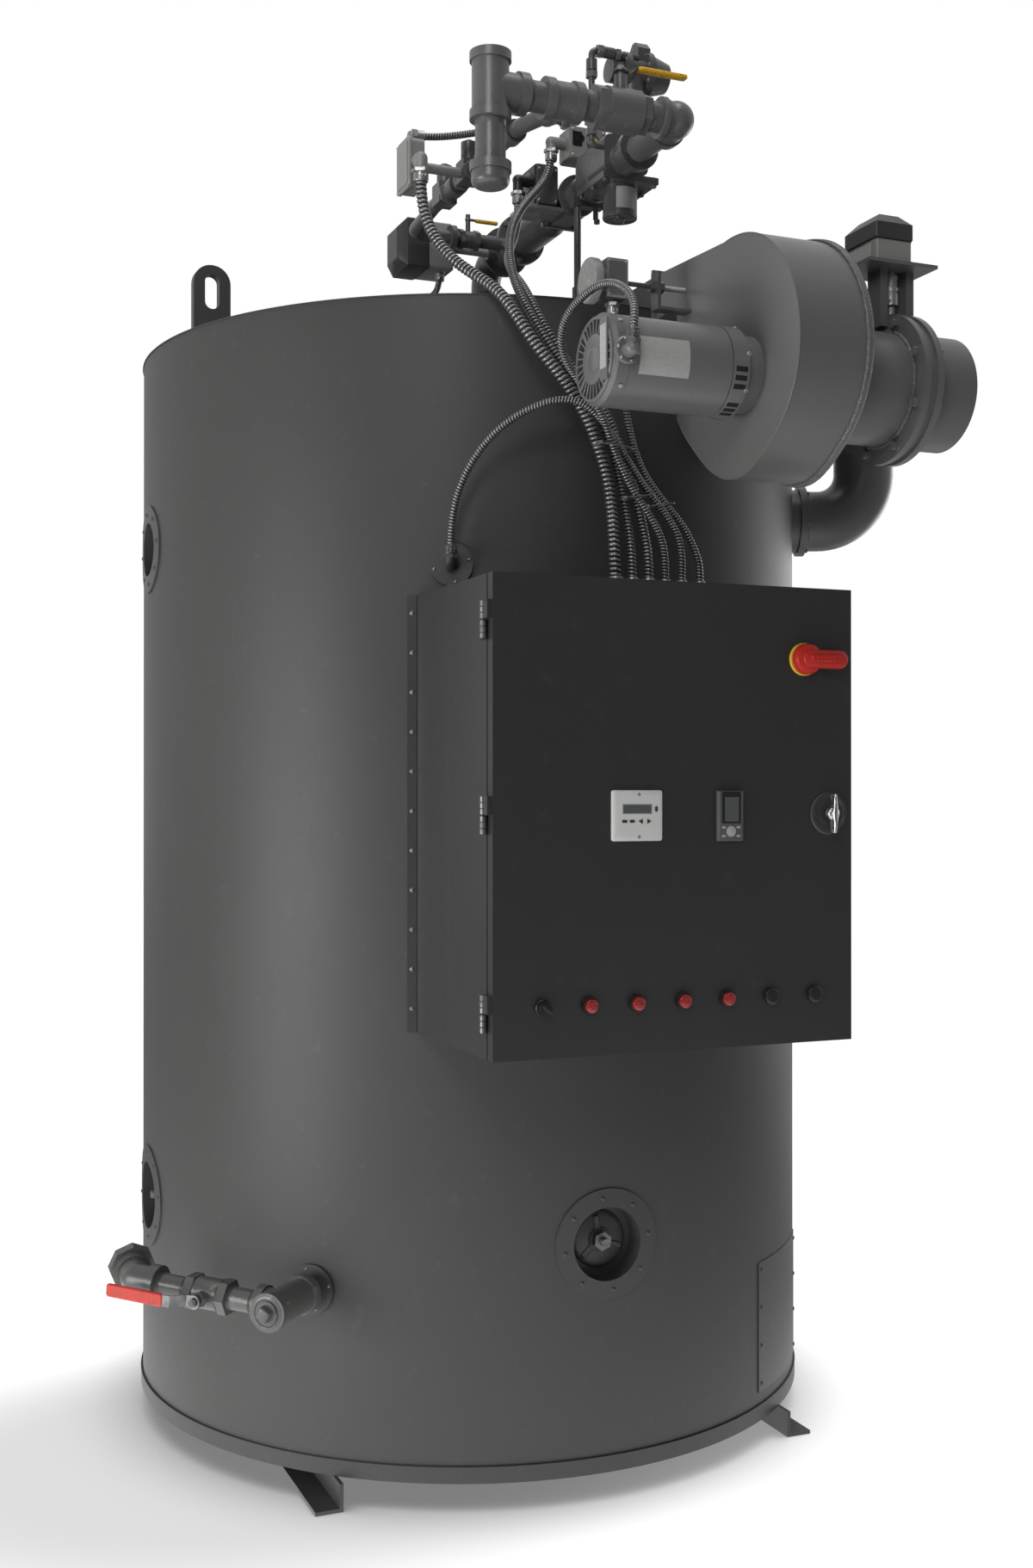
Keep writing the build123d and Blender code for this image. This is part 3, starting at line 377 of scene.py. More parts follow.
@dataclass(frozen=True)
class Lens(Finish):
    """Coloured lens with small facets behind a clear face."""

    def dress(self, graph: Graph) -> None:
        """Cells of a Voronoi pattern give the facets their tone and height."""
        cells = graph.node(
            "ShaderNodeTexVoronoi", None, {"Vector": graph.place(), "Scale": 420.0}, "Distance")
        light = cells.ramp(0.05, 0.6)
        graph.put("Base Color", graph.mix(light, scaled(self.colour, 1.35), scaled(self.colour, 0.6)))
        graph.put("Roughness", light * 0.2 + self.roughness)
        graph.put("Coat Weight", 0.6)
        graph.bump(light, 0.0006)


JACKET = Paint("jacket_paint", (0.052, 0.051, 0.05), 0.48, cloud=0.06, peel=0.0001, dust=0.03, shine=0.35)
SHELL_DARK = Paint("dark_paint", (0.04, 0.04, 0.0395), 0.42, dust=0.04)
TRIM = Paint("trim_paint", (0.05, 0.05, 0.049), 0.4)
BLOWER_PAINT = Paint("blower_paint", (0.128, 0.128, 0.126), 0.33, cloud=0.05, dust=0.04)
MOTOR_PAINT = Paint("motor_paint", (0.145, 0.145, 0.145), 0.3, cloud=0.05, peel=0.00006)
PIPE_PAINT = Paint("pipe_paint", (0.115, 0.115, 0.114), 0.3, cloud=0.12, cast=0.0005, dust=0.2)
VALVE_PAINT = Paint("valve_paint", (0.07, 0.07, 0.069), 0.28, cloud=0.15, cast=0.0005, dust=0.3)
SMALL_PAINT = Paint("casting_paint", (0.08, 0.08, 0.078), 0.3, cloud=0.15, cast=0.0006, dust=0.3)
PANEL_PAINT = Paint("panel_paint", (0.03, 0.03, 0.0298), 0.36, cloud=0.04, peel=0.00008, dust=0.02)
GALVANISED = BareMetal("galvanised", (0.42, 0.42, 0.42), 0.42)
ZINC = BareMetal("zinc_plate", (0.4, 0.4, 0.39), 0.38, tarnish=0.5)
DULL_STEEL = BareMetal("dull_steel", (0.2, 0.2, 0.2), 0.45)
CHROME = BareMetal("bright_plate", (0.62, 0.62, 0.62), 0.22, tarnish=0.1)
ALUMINIUM = Paint("cast_case", (0.24, 0.24, 0.235), 0.38, cloud=0.12, cast=0.0003, dust=0.1)
BLACK = Plastic("black_plastic", (0.012, 0.012, 0.012), 0.38)
CHARCOAL = Plastic("charcoal_plastic", (0.035, 0.035, 0.035), 0.42)
GREY_PLASTIC = Plastic("grey_plastic", (0.1, 0.1, 0.1), 0.45)
PALE_GREY = Plastic("pale_plastic", (0.4, 0.4, 0.39), 0.45)
IVORY = Plastic("white_plastic", (0.66, 0.66, 0.65), 0.5, grain=0.00012)
RED_PLASTIC = Plastic("red_plastic", (0.55, 0.025, 0.018), 0.33)
YELLOW_PLASTIC = Plastic("yellow_plastic", (0.78, 0.5, 0.03), 0.4)
YELLOW_GRIP = Dipped("yellow_grip", (0.76, 0.42, 0.02), 0.45)
RED_GRIP = Dipped("red_grip", (0.5, 0.022, 0.01), 0.42)
TIE = Plastic("tie_plastic", (0.14, 0.14, 0.14), 0.4)
RED_LENS = Lens("red_lens", (0.42, 0.008, 0.008), 0.15)
SCREEN = Plastic("screen_glass", (0.012, 0.013, 0.014), 0.16, grain=0.0, coat=0.8)
GREY_SCREEN = Plastic("screen_film", (0.09, 0.1, 0.1), 0.2, grain=0.0, coat=0.5)
LABEL = Sticker("blank_label", (0.42, 0.42, 0.41), 0.5)
CONDUIT = Ribbed("conduit_strip", (0.23, 0.23, 0.23), 0.3)
WELD = WeldBead("weld_bead", (0.11, 0.11, 0.108), 0.5)
# near black: dark joints and gaskets, and painted shade in the fan cover's openings and the motor's vents
GAP_AND_SHADE = Plastic("dark_gap_and_painted_shade", (0.006, 0.006, 0.006), 0.8)


# Meshes


@dataclass(frozen=True)
class Seat:
    """A place on the object: a point, the way out of it and the way up across it."""

    point: Vec3
    out: Vec3 = (0.0, 0.0, 1.0)
    up: Vec3 = (0.0, 1.0, 0.0)

    def axes(self) -> np.ndarray:
        """Rows of unit vectors: sideways, up and out."""
        out = np.array(self.out, float)
        out /= np.linalg.norm(out)
        side = np.cross(np.array(self.up, float), out)
        side /= np.linalg.norm(side)
        return np.array([side, np.cross(out, side), out])

    def put(self, local: np.ndarray) -> np.ndarray:
        """Points of the seat's own axes, in the shared frame."""
        return np.asarray(self.point) + np.asarray(local, float) @ self.axes()

    def moved(self, side: float = 0.0, up: float = 0.0, out: float = 0.0) -> "Seat":
        """Seat with the same axes, moved along them."""
        return Seat(tuple(self.put(np.array([side, up, out]))), self.out, self.up)

    def around(self, radius: float, angle: float) -> "Seat":
        """Seat at a place on a circle about this one, with its way up along the circle."""
        place = self.moved(radius * math.cos(angle), radius * math.sin(angle))
        along = np.array([-math.sin(angle), math.cos(angle), 0.0]) @ self.axes()
        return Seat(place.point, self.out, tuple(along))


class Way(Enum):
    """The ways a flat piece can face: the way out of it and the way up across it."""

    UP = ((0.0, 0.0, 1.0), (0.0, 1.0, 0.0))
    DOWN = ((0.0, 0.0, -1.0), (0.0, 1.0, 0.0))
    LEFT = ((-1.0, 0.0, 0.0), (0.0, 0.0, 1.0))
    RIGHT = ((1.0, 0.0, 0.0), (0.0, 0.0, 1.0))
    FRONT = ((0.0, -1.0, 0.0), (0.0, 0.0, 1.0))


def facing(way: Way, point: Vec3) -> Seat:
    """Seat at a point that faces one of the ways."""
    return Seat(point, *way.value)


def whole_turn(count: int) -> np.ndarray:
    """Angles evenly spaced round a whole turn, in radians."""
    return np.linspace(0, 2 * math.pi, count, endpoint=False)


def blunt(values: np.ndarray, power: float) -> np.ndarray:
    """Values raised to a power with their signs kept, which squares up a circle."""
    return np.sign(values) * np.abs(values) ** power


def corners(seat: Seat, side: float, up: float, out: float = 0.0) -> list[Seat]:
    """Seats at the corners of a rectangle about a seat with those half sizes, so far out of it."""
    return [seat.moved(x, y, out) for x in (-side, side) for y in (-up, up)]


def disc(radius: float, count: int = 40, start: float = 0.0) -> Outline:
    """Circle of a radius less an inset: r cos a, r sin a for a round the whole turn.

    Args:
        radius: Radius before the inset.
        count: Number of points.
        start: Angle of the first point, in radians.

    Returns:
        Function from the inset to the points.
    """
    angles = start + whole_turn(count)

    def shape(inset: float) -> np.ndarray:
        """Points at that inset."""
        return np.stack([np.cos(angles), np.sin(angles)], 1) * max(radius - inset, 1e-5)

    return shape


def hexagon(across: float, start: float = 0.0) -> Outline:
    """Hexagon with that distance between its flats."""
    return disc(across / math.sqrt(3), 6, start)


def rounded(width: float, height: float, radius: float, arc: int = 6) -> Outline:
    """Rectangle with rounded corners: four quarter circles about the corner centres.

    Args:
        width: Size sideways.
        height: Size upwards.
        radius: Corner radius.
        arc: Points on each corner.

    Returns:
        Function from the inset to the points.
    """
    quarter = np.linspace(0, math.pi / 2, arc)
    angles = np.concatenate([quarter + turn * math.pi / 2 for turn in range(4)])
    signs = np.repeat(np.array([(1, 1), (-1, 1), (-1, -1), (1, -1)], float), arc, axis=0)
    half = np.array([width, height]) / 2

    def shape(inset: float) -> np.ndarray:
        """Points at that inset."""
        bend = max(radius - inset, 0.0)
        centres = signs * (half - inset - bend)
        return centres + bend * np.stack([np.cos(angles), np.sin(angles)], 1)

    return shape


def joined(points: np.ndarray) -> np.ndarray:
    """Distance along a line of points, from nought at the first."""
    steps = np.linalg.norm(np.diff(points, axis=0), axis=1)
    return np.concatenate([[0.0], np.cumsum(steps)])


def spaced(points: np.ndarray, count: int) -> np.ndarray:
    """Points evenly spaced along a line, by interpolation on its length."""
    along = joined(points)
    wanted = np.linspace(0, along[-1], count)
    return np.stack([np.interp(wanted, along, points[:, axis]) for axis in range(3)], 1)


def carried(path: np.ndarray) -> tuple[np.ndarray, np.ndarray]:
    """Two cross directions at each point of a path, carried along it without twist.

    Each new direction is the last one less its part along the path, made a unit vector. The
    first comes from a fixed direction that no path starts along.

    Args:
        path: Points of the path, one a row.

    Returns:
        The two cross directions, one row a point.
    """
    along = np.gradient(path, axis=0)
    along /= np.linalg.norm(along, axis=1)[:, None]
    first = np.cross(along[0], CROSSWISE)
    rows = []
    for direction in along:
        first = first - direction * (first @ direction)
        first = first / np.linalg.norm(first)
        rows.append(first)
    rows = np.array(rows)
    return rows, np.cross(along, rows)


def circled(path: np.ndarray, angles: np.ndarray) -> np.ndarray:
    """Unit vectors across a path at each of its points, one for each angle round it.

    Args:
        path: Points of the path, one a row.
        angles: Angles round it, in radians.

    Returns:
        Vectors, as points of the path by angles by three.
    """
    first, second = carried(path)
    return first[:, None] * np.cos(angles)[None, :, None] + second[:, None] * np.sin(angles)[None, :, None]


class Shell:
    """Closed surfaces gathered into one mesh."""

    def __init__(self) -> None:
        """Start with nothing."""
        self.points: list[np.ndarray] = []
        self.faces: list[list[int]] = []
        self.count = 0

    def add(self, points: np.ndarray, faces: Iterable[Sequence[int]]) -> None:
        """Add points and the faces that join them."""
        self.points.append(points)
        self.faces += [[index + self.count for index in face] for face in faces]
        self.count += len(points)

    def loft(self, rings: np.ndarray, loop: bool = False) -> None:
        """Skin a row of rings: point (i, j) joins its neighbours round the ring and along the row.

        Args:
            rings: Points, as rings by points of a ring by three.
            loop: Whether the last ring joins the first; if not, both ends are capped.
        """
        rows, width, _ = rings.shape
        row = np.arange(rows if loop else rows - 1)[:, None]
        col = np.arange(width)[None, :]
        nxt, side = (row + 1) % rows, (col + 1) % width
        quads = np.stack([row * width + col, row * width + side, nxt * width + side, nxt * width + col], -1)
        faces = quads.reshape(-1, 4).tolist()
        if not loop:
            faces.append(list(range(width))[::-1])
            faces.append(list(range((rows - 1) * width, rows * width)))
        self.add(rings.reshape(-1, 3), faces)

    def prism(
            self, seat: Seat, shape: Outline, levels: Sequence[tuple[float, float]],
            loop: bool = False) -> None:
        """Stack one outline at several heights, each with its own inset.

        Args:
            seat: Place of the outline's centre.
            shape: Outline as a function of its inset.
            levels: Height and inset of each ring.
            loop: Whether the last ring joins the first, as for a hollow ring.
        """
        rings = []
        for height, inset in levels:
            flat = shape(inset)
            rings.append(seat.put(np.column_stack([flat, np.full(len(flat), height)])))
        self.loft(np.array(rings), loop)

    def slab(self, seat: Seat, shape: Outline, low: float, high: float, edge: float = 0.001) -> None:
        """Plate between two heights with its edges broken by that much."""
        self.prism(seat, shape, ((low, edge), (low + edge, 0), (high - edge, 0), (high, edge)))

    def lathe(
            self, seat: Seat, profile: Sequence[tuple[float, float]], count: int = 40,
            loop: bool = False) -> None:
        """Turn a profile of radius and height about the way out of a seat."""
        levels = [(height, -radius) for radius, height in profile]
        self.prism(seat, disc(0.0, count), levels, loop)

    def hoop(self, seat: Seat, radii: tuple[float, float], heights: tuple[float, float], count: int) -> None:
        """Flat ring about the way out of a seat, between two radii and two heights."""
        (inner, outer), (low, high) = radii, heights
        self.lathe(seat, ((inner, low), (outer, low), (outer, high), (inner, high)), count, True)

    def tube(self, path: np.ndarray, radius: float, sides: int = 12, loop: bool = False) -> None:
        """Carry a circle along a path.

        Args:
            path: Points of the path.
            radius: Radius of the circle.
            sides: Number of points of the circle.
            loop: Whether the path closes on itself.
        """
        path = np.asarray(path, float)
        angles = whole_turn(sides)
        self.loft(path[:, None] + radius * circled(path, angles), loop)

    def build(self, name: str, finish: Finish, slot: str, body: Body = Body.BOILER,
              sharp: float = 32.0) -> bpy.types.Object:
        """Make the object and let it ride on its body.

        Args:
            name: Name of the piece.
            finish: Its finish.
            slot: Material slot of the record; not used.
            body: Body that carries it.
            sharp: Angle between faces, in degrees, above which an edge stays sharp.

        Returns:
            The new object.
        """
        mesh = bpy.data.meshes.new(name)
        mesh.from_pydata(np.concatenate(self.points).tolist(), [], self.faces)
        work = bmesh.new()
        work.from_mesh(mesh)
        bmesh.ops.remove_doubles(work, verts=work.verts, dist=1e-6)
        bmesh.ops.dissolve_degenerate(work, edges=work.edges, dist=1e-7)
        bmesh.ops.recalc_face_normals(work, faces=work.faces)
        work.to_mesh(mesh)
        work.free()
        mesh.shade_smooth()
        mesh.set_sharp_from_angle(angle=math.radians(sharp))
        piece = bpy.data.objects.new(name, mesh)
        bpy.context.scene.collection.objects.link(piece)
        mesh.materials.append(finish.material())
        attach(piece, body.value)
        log.info("%s: %d faces", name, len(mesh.polygons))
        return piece


def screw(shell: Shell, seat: Seat, radius: float, height: float) -> None:
    """Domed screw head: the radius falls as the square root of one less the height squared."""
    profile = [(radius, 0.0)] + [(radius * math.sqrt(1 - t * t), height * t) for t in DOME_LEVELS]
    shell.lathe(seat, profile, HEAD_SIDES)


def bolt(shell: Shell, seat: Seat, across: float, height: float, washer: float = 0.0) -> None:
    """Hexagonal head with a chamfered top on a washer; its turn varies with its place.

    Args:
        shell: Mesh that takes the head.
        seat: Place of the head's foot.
        across: Distance between its flats.
        height: Height of the head.
        washer: Radius of the washer, or nought for none.
    """
    foot = 0.0
    if washer:
        foot = WASHER_THICKNESS
        shell.lathe(seat, ((washer, -0.0005), (washer, foot * 0.7), (washer * 0.95, foot)), 20)
    turn = 0.3 + 2.1 * (seat.point[0] * 37 % 1)
    edge = across * HEAD_CHAMFER
    shell.prism(seat, hexagon(across, turn),
                ((foot - 0.0003, 0), (foot + height - edge, 0), (foot + height, edge * 1.6)))


def threads(
        shell: Shell, seat: Seat, radius: float, proud: float, start: float, count: int, sides: int) -> None:
    """Pipe threads beside a fitting.

    Args:
        shell: Mesh that takes the threads.
        seat: Seat on the pipe's axis, facing along it.
        radius: Radius at the root.
        proud: Height of a thread.
        start: Distance from the seat to the first thread.
        count: Number of threads.
        sides: Number of points round each.
    """
    for step in range(count):
        low = start + step * THREAD_PITCH
        shell.lathe(
            seat, ((radius, low), (radius + proud, low + THREAD_CREST), (radius, low + THREAD_PITCH)), sides)


def ring_of(seat: Seat, radius: float, count: int, start: float = 0.0) -> list[Seat]:
    """Seats evenly spaced on a circle about a seat."""
    angles = [start + 2 * math.pi * step / count for step in range(count)]
    return [seat.moved(radius * math.cos(a), radius * math.sin(a)) for a in angles]


def on_jacket(angle: float, height: float, radius: float) -> Seat:
    """Seat that faces straight out of the jacket at an angle in degrees."""
    a = math.radians(angle)
    return Seat(
        (radius * math.cos(a), radius * math.sin(a), height), (math.cos(a), math.sin(a), 0.0), UPRIGHT)


def paint_node(name: str, finish: Finish) -> None:
    """Give a CAD node a finish in all its material slots."""
    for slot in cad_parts[name].material_slots:
        slot.material = finish.material()


# Conduits


@dataclass
class Conduits:
    """Flexible conduits: wound strip on smooth routes between fixed fittings."""

    turn_share: float = 0.4
    sides: int = 14
    rings: int = 7
    groove_power: float = 1.2
    groove_depth: float = 0.26
    diameters: dict[str, float] = field(default_factory=lambda: {
        "conduit_junction": 0.025, "conduit_indicator": 0.019, "conduit_valve": 0.019, "conduit_motor": 0.016,
        "conduit_port": 0.016, "conduit_air_switch": 0.016, "conduit_upper": 0.016, "conduit_firing": 0.016})
    routes: dict[str, list[Vec3]] = field(default_factory=lambda: {
        "conduit_junction": [
            (-0.363, -0.655, 2.812), (-0.362, -0.657, 2.765), (-0.352, -0.665, 2.715),
            (-0.336, -0.69, 2.665), (-0.314, -0.726, 2.62), (-0.286, -0.764, 2.585),
            (-0.258, -0.806, 2.551), (-0.238, -0.845, 2.508), (-0.22, -0.872, 2.46),
            (-0.192, -0.888, 2.412), (-0.156, -0.898, 2.368), (-0.12, -0.904, 2.322),
            (-0.088, -0.908, 2.27), (-0.064, -0.912, 2.21), (-0.048, -0.92, 2.15), (-0.043, -0.928, 2.09),
            (-0.045, -0.94, 2.035), (-0.046, -0.948, 1.985), (-0.045, -0.95, 1.9354)],
        "conduit_indicator": [
            (-0.005, -0.532, 2.949), (-0.012, -0.536, 2.912), (-0.04, -0.555, 2.87),
            (-0.082, -0.584, 2.826), (-0.122, -0.622, 2.78), (-0.158, -0.666, 2.727),
            (-0.186, -0.718, 2.665), (-0.202, -0.772, 2.598), (-0.206, -0.826, 2.535),
            (-0.19, -0.862, 2.475), (-0.157, -0.884, 2.41), (-0.112, -0.895, 2.35), (-0.066, -0.903, 2.29),
            (-0.034, -0.911, 2.212), (-0.016, -0.922, 2.125), (-0.008, -0.937, 2.04),
            (-0.007, -0.948, 1.985), (-0.007, -0.95, 1.9354)],
        "conduit_valve": [
            (-0.061, -0.47, 2.864), (-0.064, -0.476, 2.818), (-0.084, -0.506, 2.768),
            (-0.113, -0.55, 2.724), (-0.142, -0.606, 2.684), (-0.165, -0.668, 2.644),
            (-0.18, -0.732, 2.604), (-0.184, -0.79, 2.565), (-0.18, -0.834, 2.516), (-0.163, -0.858, 2.462),
            (-0.128, -0.873, 2.405), (-0.084, -0.885, 2.346), (-0.04, -0.903, 2.282),
            (-0.008, -0.912, 2.205), (0.014, -0.922, 2.12), (0.027, -0.938, 2.035), (0.031, -0.948, 1.985),
            (0.031, -0.95, 1.9354)],
        "conduit_motor": [
            (-0.18, -1.3, 2.337), (-0.175, -1.297, 2.364), (-0.169, -1.286, 2.392), (-0.166, -1.266, 2.419),
            (-0.168, -1.24, 2.44), (-0.174, -1.212, 2.455), (-0.182, -1.182, 2.462), (-0.19, -1.15, 2.46),
            (-0.198, -1.112, 2.45), (-0.204, -1.074, 2.434), (-0.204, -1.038, 2.412),
            (-0.194, -1.01, 2.385), (-0.172, -0.988, 2.358), (-0.14, -0.972, 2.33), (-0.106, -0.963, 2.3),
            (-0.074, -0.956, 2.262), (-0.046, -0.944, 2.205), (-0.012, -0.949, 2.13), (0.032, -0.955, 2.07),
            (0.06, -0.956, 2.02), (0.068, -0.953, 1.975), (0.069, -0.95, 1.9354)],
        "conduit_port": [
            (-0.3433, -0.7859, 2), (-0.344, -0.788, 2.042), (-0.338, -0.803, 2.11), (-0.316, -0.828, 2.175),
            (-0.276, -0.856, 2.235), (-0.222, -0.886, 2.278), (-0.162, -0.916, 2.302),
            (-0.11, -0.933, 2.298), (-0.062, -0.935, 2.258), (-0.02, -0.938, 2.195), (0.022, -0.946, 2.13),
            (0.066, -0.953, 2.078), (0.098, -0.957, 2.03), (0.107, -0.954, 1.98), (0.107, -0.95, 1.9354)],
        "conduit_air_switch": [
            (-0.057, -0.96, 2.48), (-0.055, -0.957, 2.44), (-0.042, -0.945, 2.385), (-0.02, -0.926, 2.33),
            (0.002, -0.91, 2.275), (0.018, -0.905, 2.215), (0.04, -0.914, 2.158), (0.076, -0.928, 2.105),
            (0.116, -0.942, 2.055), (0.142, -0.95, 1.998), (0.15, -0.951, 1.965), (0.15, -0.95, 1.9354)],
        "conduit_upper": [
            (-0.345, -0.596, 2.923), (-0.312, -0.596, 2.926), (-0.262, -0.592, 2.938),
            (-0.206, -0.584, 2.956), (-0.146, -0.572, 2.978), (-0.086, -0.558, 3.002),
            (-0.034, -0.544, 3.022), (0.002, -0.535, 3.032), (0.028, -0.532, 3.034)],
        "conduit_firing": [
            (-0.104, -0.06, 2.794), (-0.108, -0.063, 2.766), (-0.126, -0.07, 2.74), (-0.164, -0.082, 2.724),
            (-0.212, -0.095, 2.717), (-0.262, -0.107, 2.708), (-0.307, -0.117, 2.688),
            (-0.336, -0.122, 2.652), (-0.347, -0.124, 2.61), (-0.35, -0.125, 2.5686)],
    })

    def line(self, name: str) -> np.ndarray:
        """Points of the smooth line that follows a route.

        Args:
            name: Name of the conduit.

        Returns:
            Points of the NURBS spline whose control points are the route's.
        """
        curve = bpy.data.curves.new(name + "_line", "CURVE")
        curve.dimensions = "3D"
        spline = curve.splines.new("NURBS")
        route = self.routes[name]
        spline.points.add(len(route) - 1)
        for point, place in zip(spline.points, route):
            point.co = (*place, 1.0)
        spline.order_u = 3
        spline.use_endpoint_u = True
        spline.resolution_u = 24
        holder = bpy.data.objects.new(name + "_line", curve)
        mesh = bpy.data.meshes.new_from_object(holder)
        places = np.empty(len(mesh.vertices) * 3)
        mesh.vertices.foreach_get("co", places)
        bpy.data.objects.remove(holder)
        bpy.data.curves.remove(curve)
        bpy.data.meshes.remove(mesh)
        return places.reshape(-1, 3)

    def make(self, name: str) -> bpy.types.Object:
        """Wind one conduit along its line.

        The radius is the full radius less a groove: groove = (1 - |sin(pi t)|) to a power, where
        t is the distance along in turns plus the share of the way round, so the grooves run
        in a helix.

        Args:
            name: Name of the conduit.

        Returns:
            The conduit's mesh object.
        """
        radius = self.diameters[name] / 2
        line = self.line(name)
        length = joined(line)[-1]
        count = int(length / (self.turn_share * 2 * radius) * self.rings)
        path = spaced(line, count)
        angles = whole_turn(self.sides)
        turns = (np.arange(count) / self.rings)[:, None] + (angles / (2 * math.pi))[None, :]
        groove = (1 - np.abs(np.sin(math.pi * turns))) ** self.groove_power
        size = radius * (1 - self.groove_depth * groove)
        shell = Shell()
        shell.loft(path[:, None] + size[:, :, None] * circled(path, angles))
        piece = shell.build(name + "_wound", CONDUIT, "conduit_metal", sharp=60.0)
        values = groove.reshape(-1)
        # the groove value also places the painted shade between the turns in the conduit's material
        attribute = piece.data.attributes.new("groove", "FLOAT", "POINT")
        if len(piece.data.vertices) == len(values):
            attribute.data.foreach_set("value", values)
        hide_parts(name)
        return piece

    def build(self) -> None:
        """Make every conduit."""
        for name in self.routes:
            self.make(name)


# Boiler shell


@dataclass
class BoilerShell:
    """Small hardware of the boiler's body: screws, covers, beads and edges."""

    radius: float = 0.8175
    ring_screws: int = 8
    ring_reach: float = 0.098
    port_reach: float = 0.084
    handhole_height: float = 0.541
    handhole_angles: tuple[float, ...] = (-90.0, 180.0, 0.0, 90.0)
    cover_radius: float = 0.767
    port_height: float = 2.077
    access_angles: tuple[float, float] = (-57.0, -33.5)
    access_heights: tuple[float, float] = (0.122, 0.419)
    rosettes: tuple[tuple[float, float, float], ...] = ((-135.0, 0.447, 0.043), (-113.6, 1.975, 0.037))
    rosette_proud: float = 0.0075

    def rings(self) -> None:
        """Eight screws on each ring plate."""
        shell = Shell()
        places = [(angle, self.handhole_height, self.ring_reach) for angle in self.handhole_angles]
        places.append((180.0, self.port_height, self.port_reach))
        for angle, height, across in places:
            for step in range(self.ring_screws):
                a = 0.13 + step * 2 * math.pi / self.ring_screws
                turn = math.degrees(across * math.cos(a) / self.radius)
                seat = on_jacket(angle + turn, height + across * math.sin(a), self.radius + 0.0038)
                screw(shell, seat, 0.0052, 0.0034)
        shell.build("ring_screws", SHELL_DARK, "dark_paint")

    def handholes(self) -> None:
        """Round cover, three-armed yoke, nut and stud behind each handhole."""
        cover, yoke, stud = Shell(), Shell(), Shell()
        for angle in self.handhole_angles:
            seat = on_jacket(angle, self.handhole_height, self.cover_radius)
            cover.prism(
                seat, disc(0.0615, 48), ((-0.0005, 0.0), (0.004, 0.0), (0.0075, 0.004), (0.0098, 0.011)))
            for arm in range(3):
                turn = math.radians(100.0 + arm * 120.0)
                yoke.prism(
                    seat.around(0.028, turn), rounded(0.052, 0.013, 0.005),
                    ((0.009, 0.0), (0.0125, 0.0005), (0.0142, 0.0025)))
            yoke.lathe(seat, ((0.0255, 0.009), (0.0262, 0.011), (0.0245, 0.0142), (0.0, 0.0145)), 32)
            stud.prism(seat, hexagon(0.0375, 0.35), ((0.0138, 0.0), (0.0305, 0.0), (0.032, 0.0022)))
            for step in range(6):
                low = 0.031 + step * 0.0024
                stud.lathe(seat, ((0.0088, low), (0.0094, low + 0.0012), (0.0088, low + 0.0024)), 20)
        piece = cover.build("handhole_discs", SHELL_DARK, "bare_steel")
        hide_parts("handhole_covers")
        yoke.build("handhole_yokes", SHELL_DARK, "bare_steel")
        stud.build("handhole_studs", DULL_STEEL, "bare_steel")

    def access(self) -> None:
        """Four screws down each side of the access plate."""
        shell = Shell()
        for angle in (self.access_angles[0] + 1.1, self.access_angles[1] - 1.1):
            for height in np.linspace(self.access_heights[0] + 0.018, self.access_heights[1] - 0.018, 4):
                screw(shell, on_jacket(angle, float(height), self.radius + 0.0022), 0.0055, 0.0036)
        shell.build("access_screws", SHELL_DARK, "dark_paint")

    def rims(self) -> None:
        """Fine beads round the jacket's foot and top edge, and the screws of the two rosettes."""
        bead = Shell()
        turn = whole_turn(240)
        for radius, height, size in (
                (self.radius + 0.0012, 2.5415, 0.0016), (self.radius + 0.004, 0.0925, 0.0016)):
            path = np.stack([radius * np.cos(turn), radius * np.sin(turn), np.full_like(turn, height)], 1)
            bead.tube(path, size, 8, True)
        bead.build("jacket_beads", JACKET, "shell_paint")
        screws = Shell()
        for angle, height, across in self.rosettes:
            for step in range(4):
                a = 0.25 + step * math.pi / 2
                turn_by = math.degrees(across * math.cos(a) / self.radius)
                seat = on_jacket(
                    angle + turn_by, height + across * math.sin(a), self.radius + self.rosette_proud)
                screw(screws, seat, 0.0042, 0.003)
        screws.build("rosette_screws", DULL_STEEL, "bare_steel")

    def lug_welds(self) -> None:
        """Weld fillets along both faces of each lifting lug's foot."""
        weld = Shell()
        along = np.linspace(-0.047, 0.047, 40)
        for turn in (2.5, 182.5):
            a = math.radians(turn)
            side = np.array([math.cos(a), math.sin(a), 0.0])
            across = np.array([-math.sin(a), math.cos(a), 0.0])
            centre = side * 0.677 + np.array([0.0, 0.0, 2.5445])
            for sign in (-1, 1):
                wobble = 0.0006 * np.sin(along * 1400)
                path = centre + side * along[:, None] + across * (sign * 0.0145 + wobble[:, None])
                weld.tube(path, 0.0045, 8)
        weld.build("lug_welds", WELD, "dark_paint")

    def build(self) -> None:
        """Make every piece of the body's hardware."""
        self.rings()
        self.handholes()
        self.access()
        self.rims()
        self.lug_welds()


# Control panel


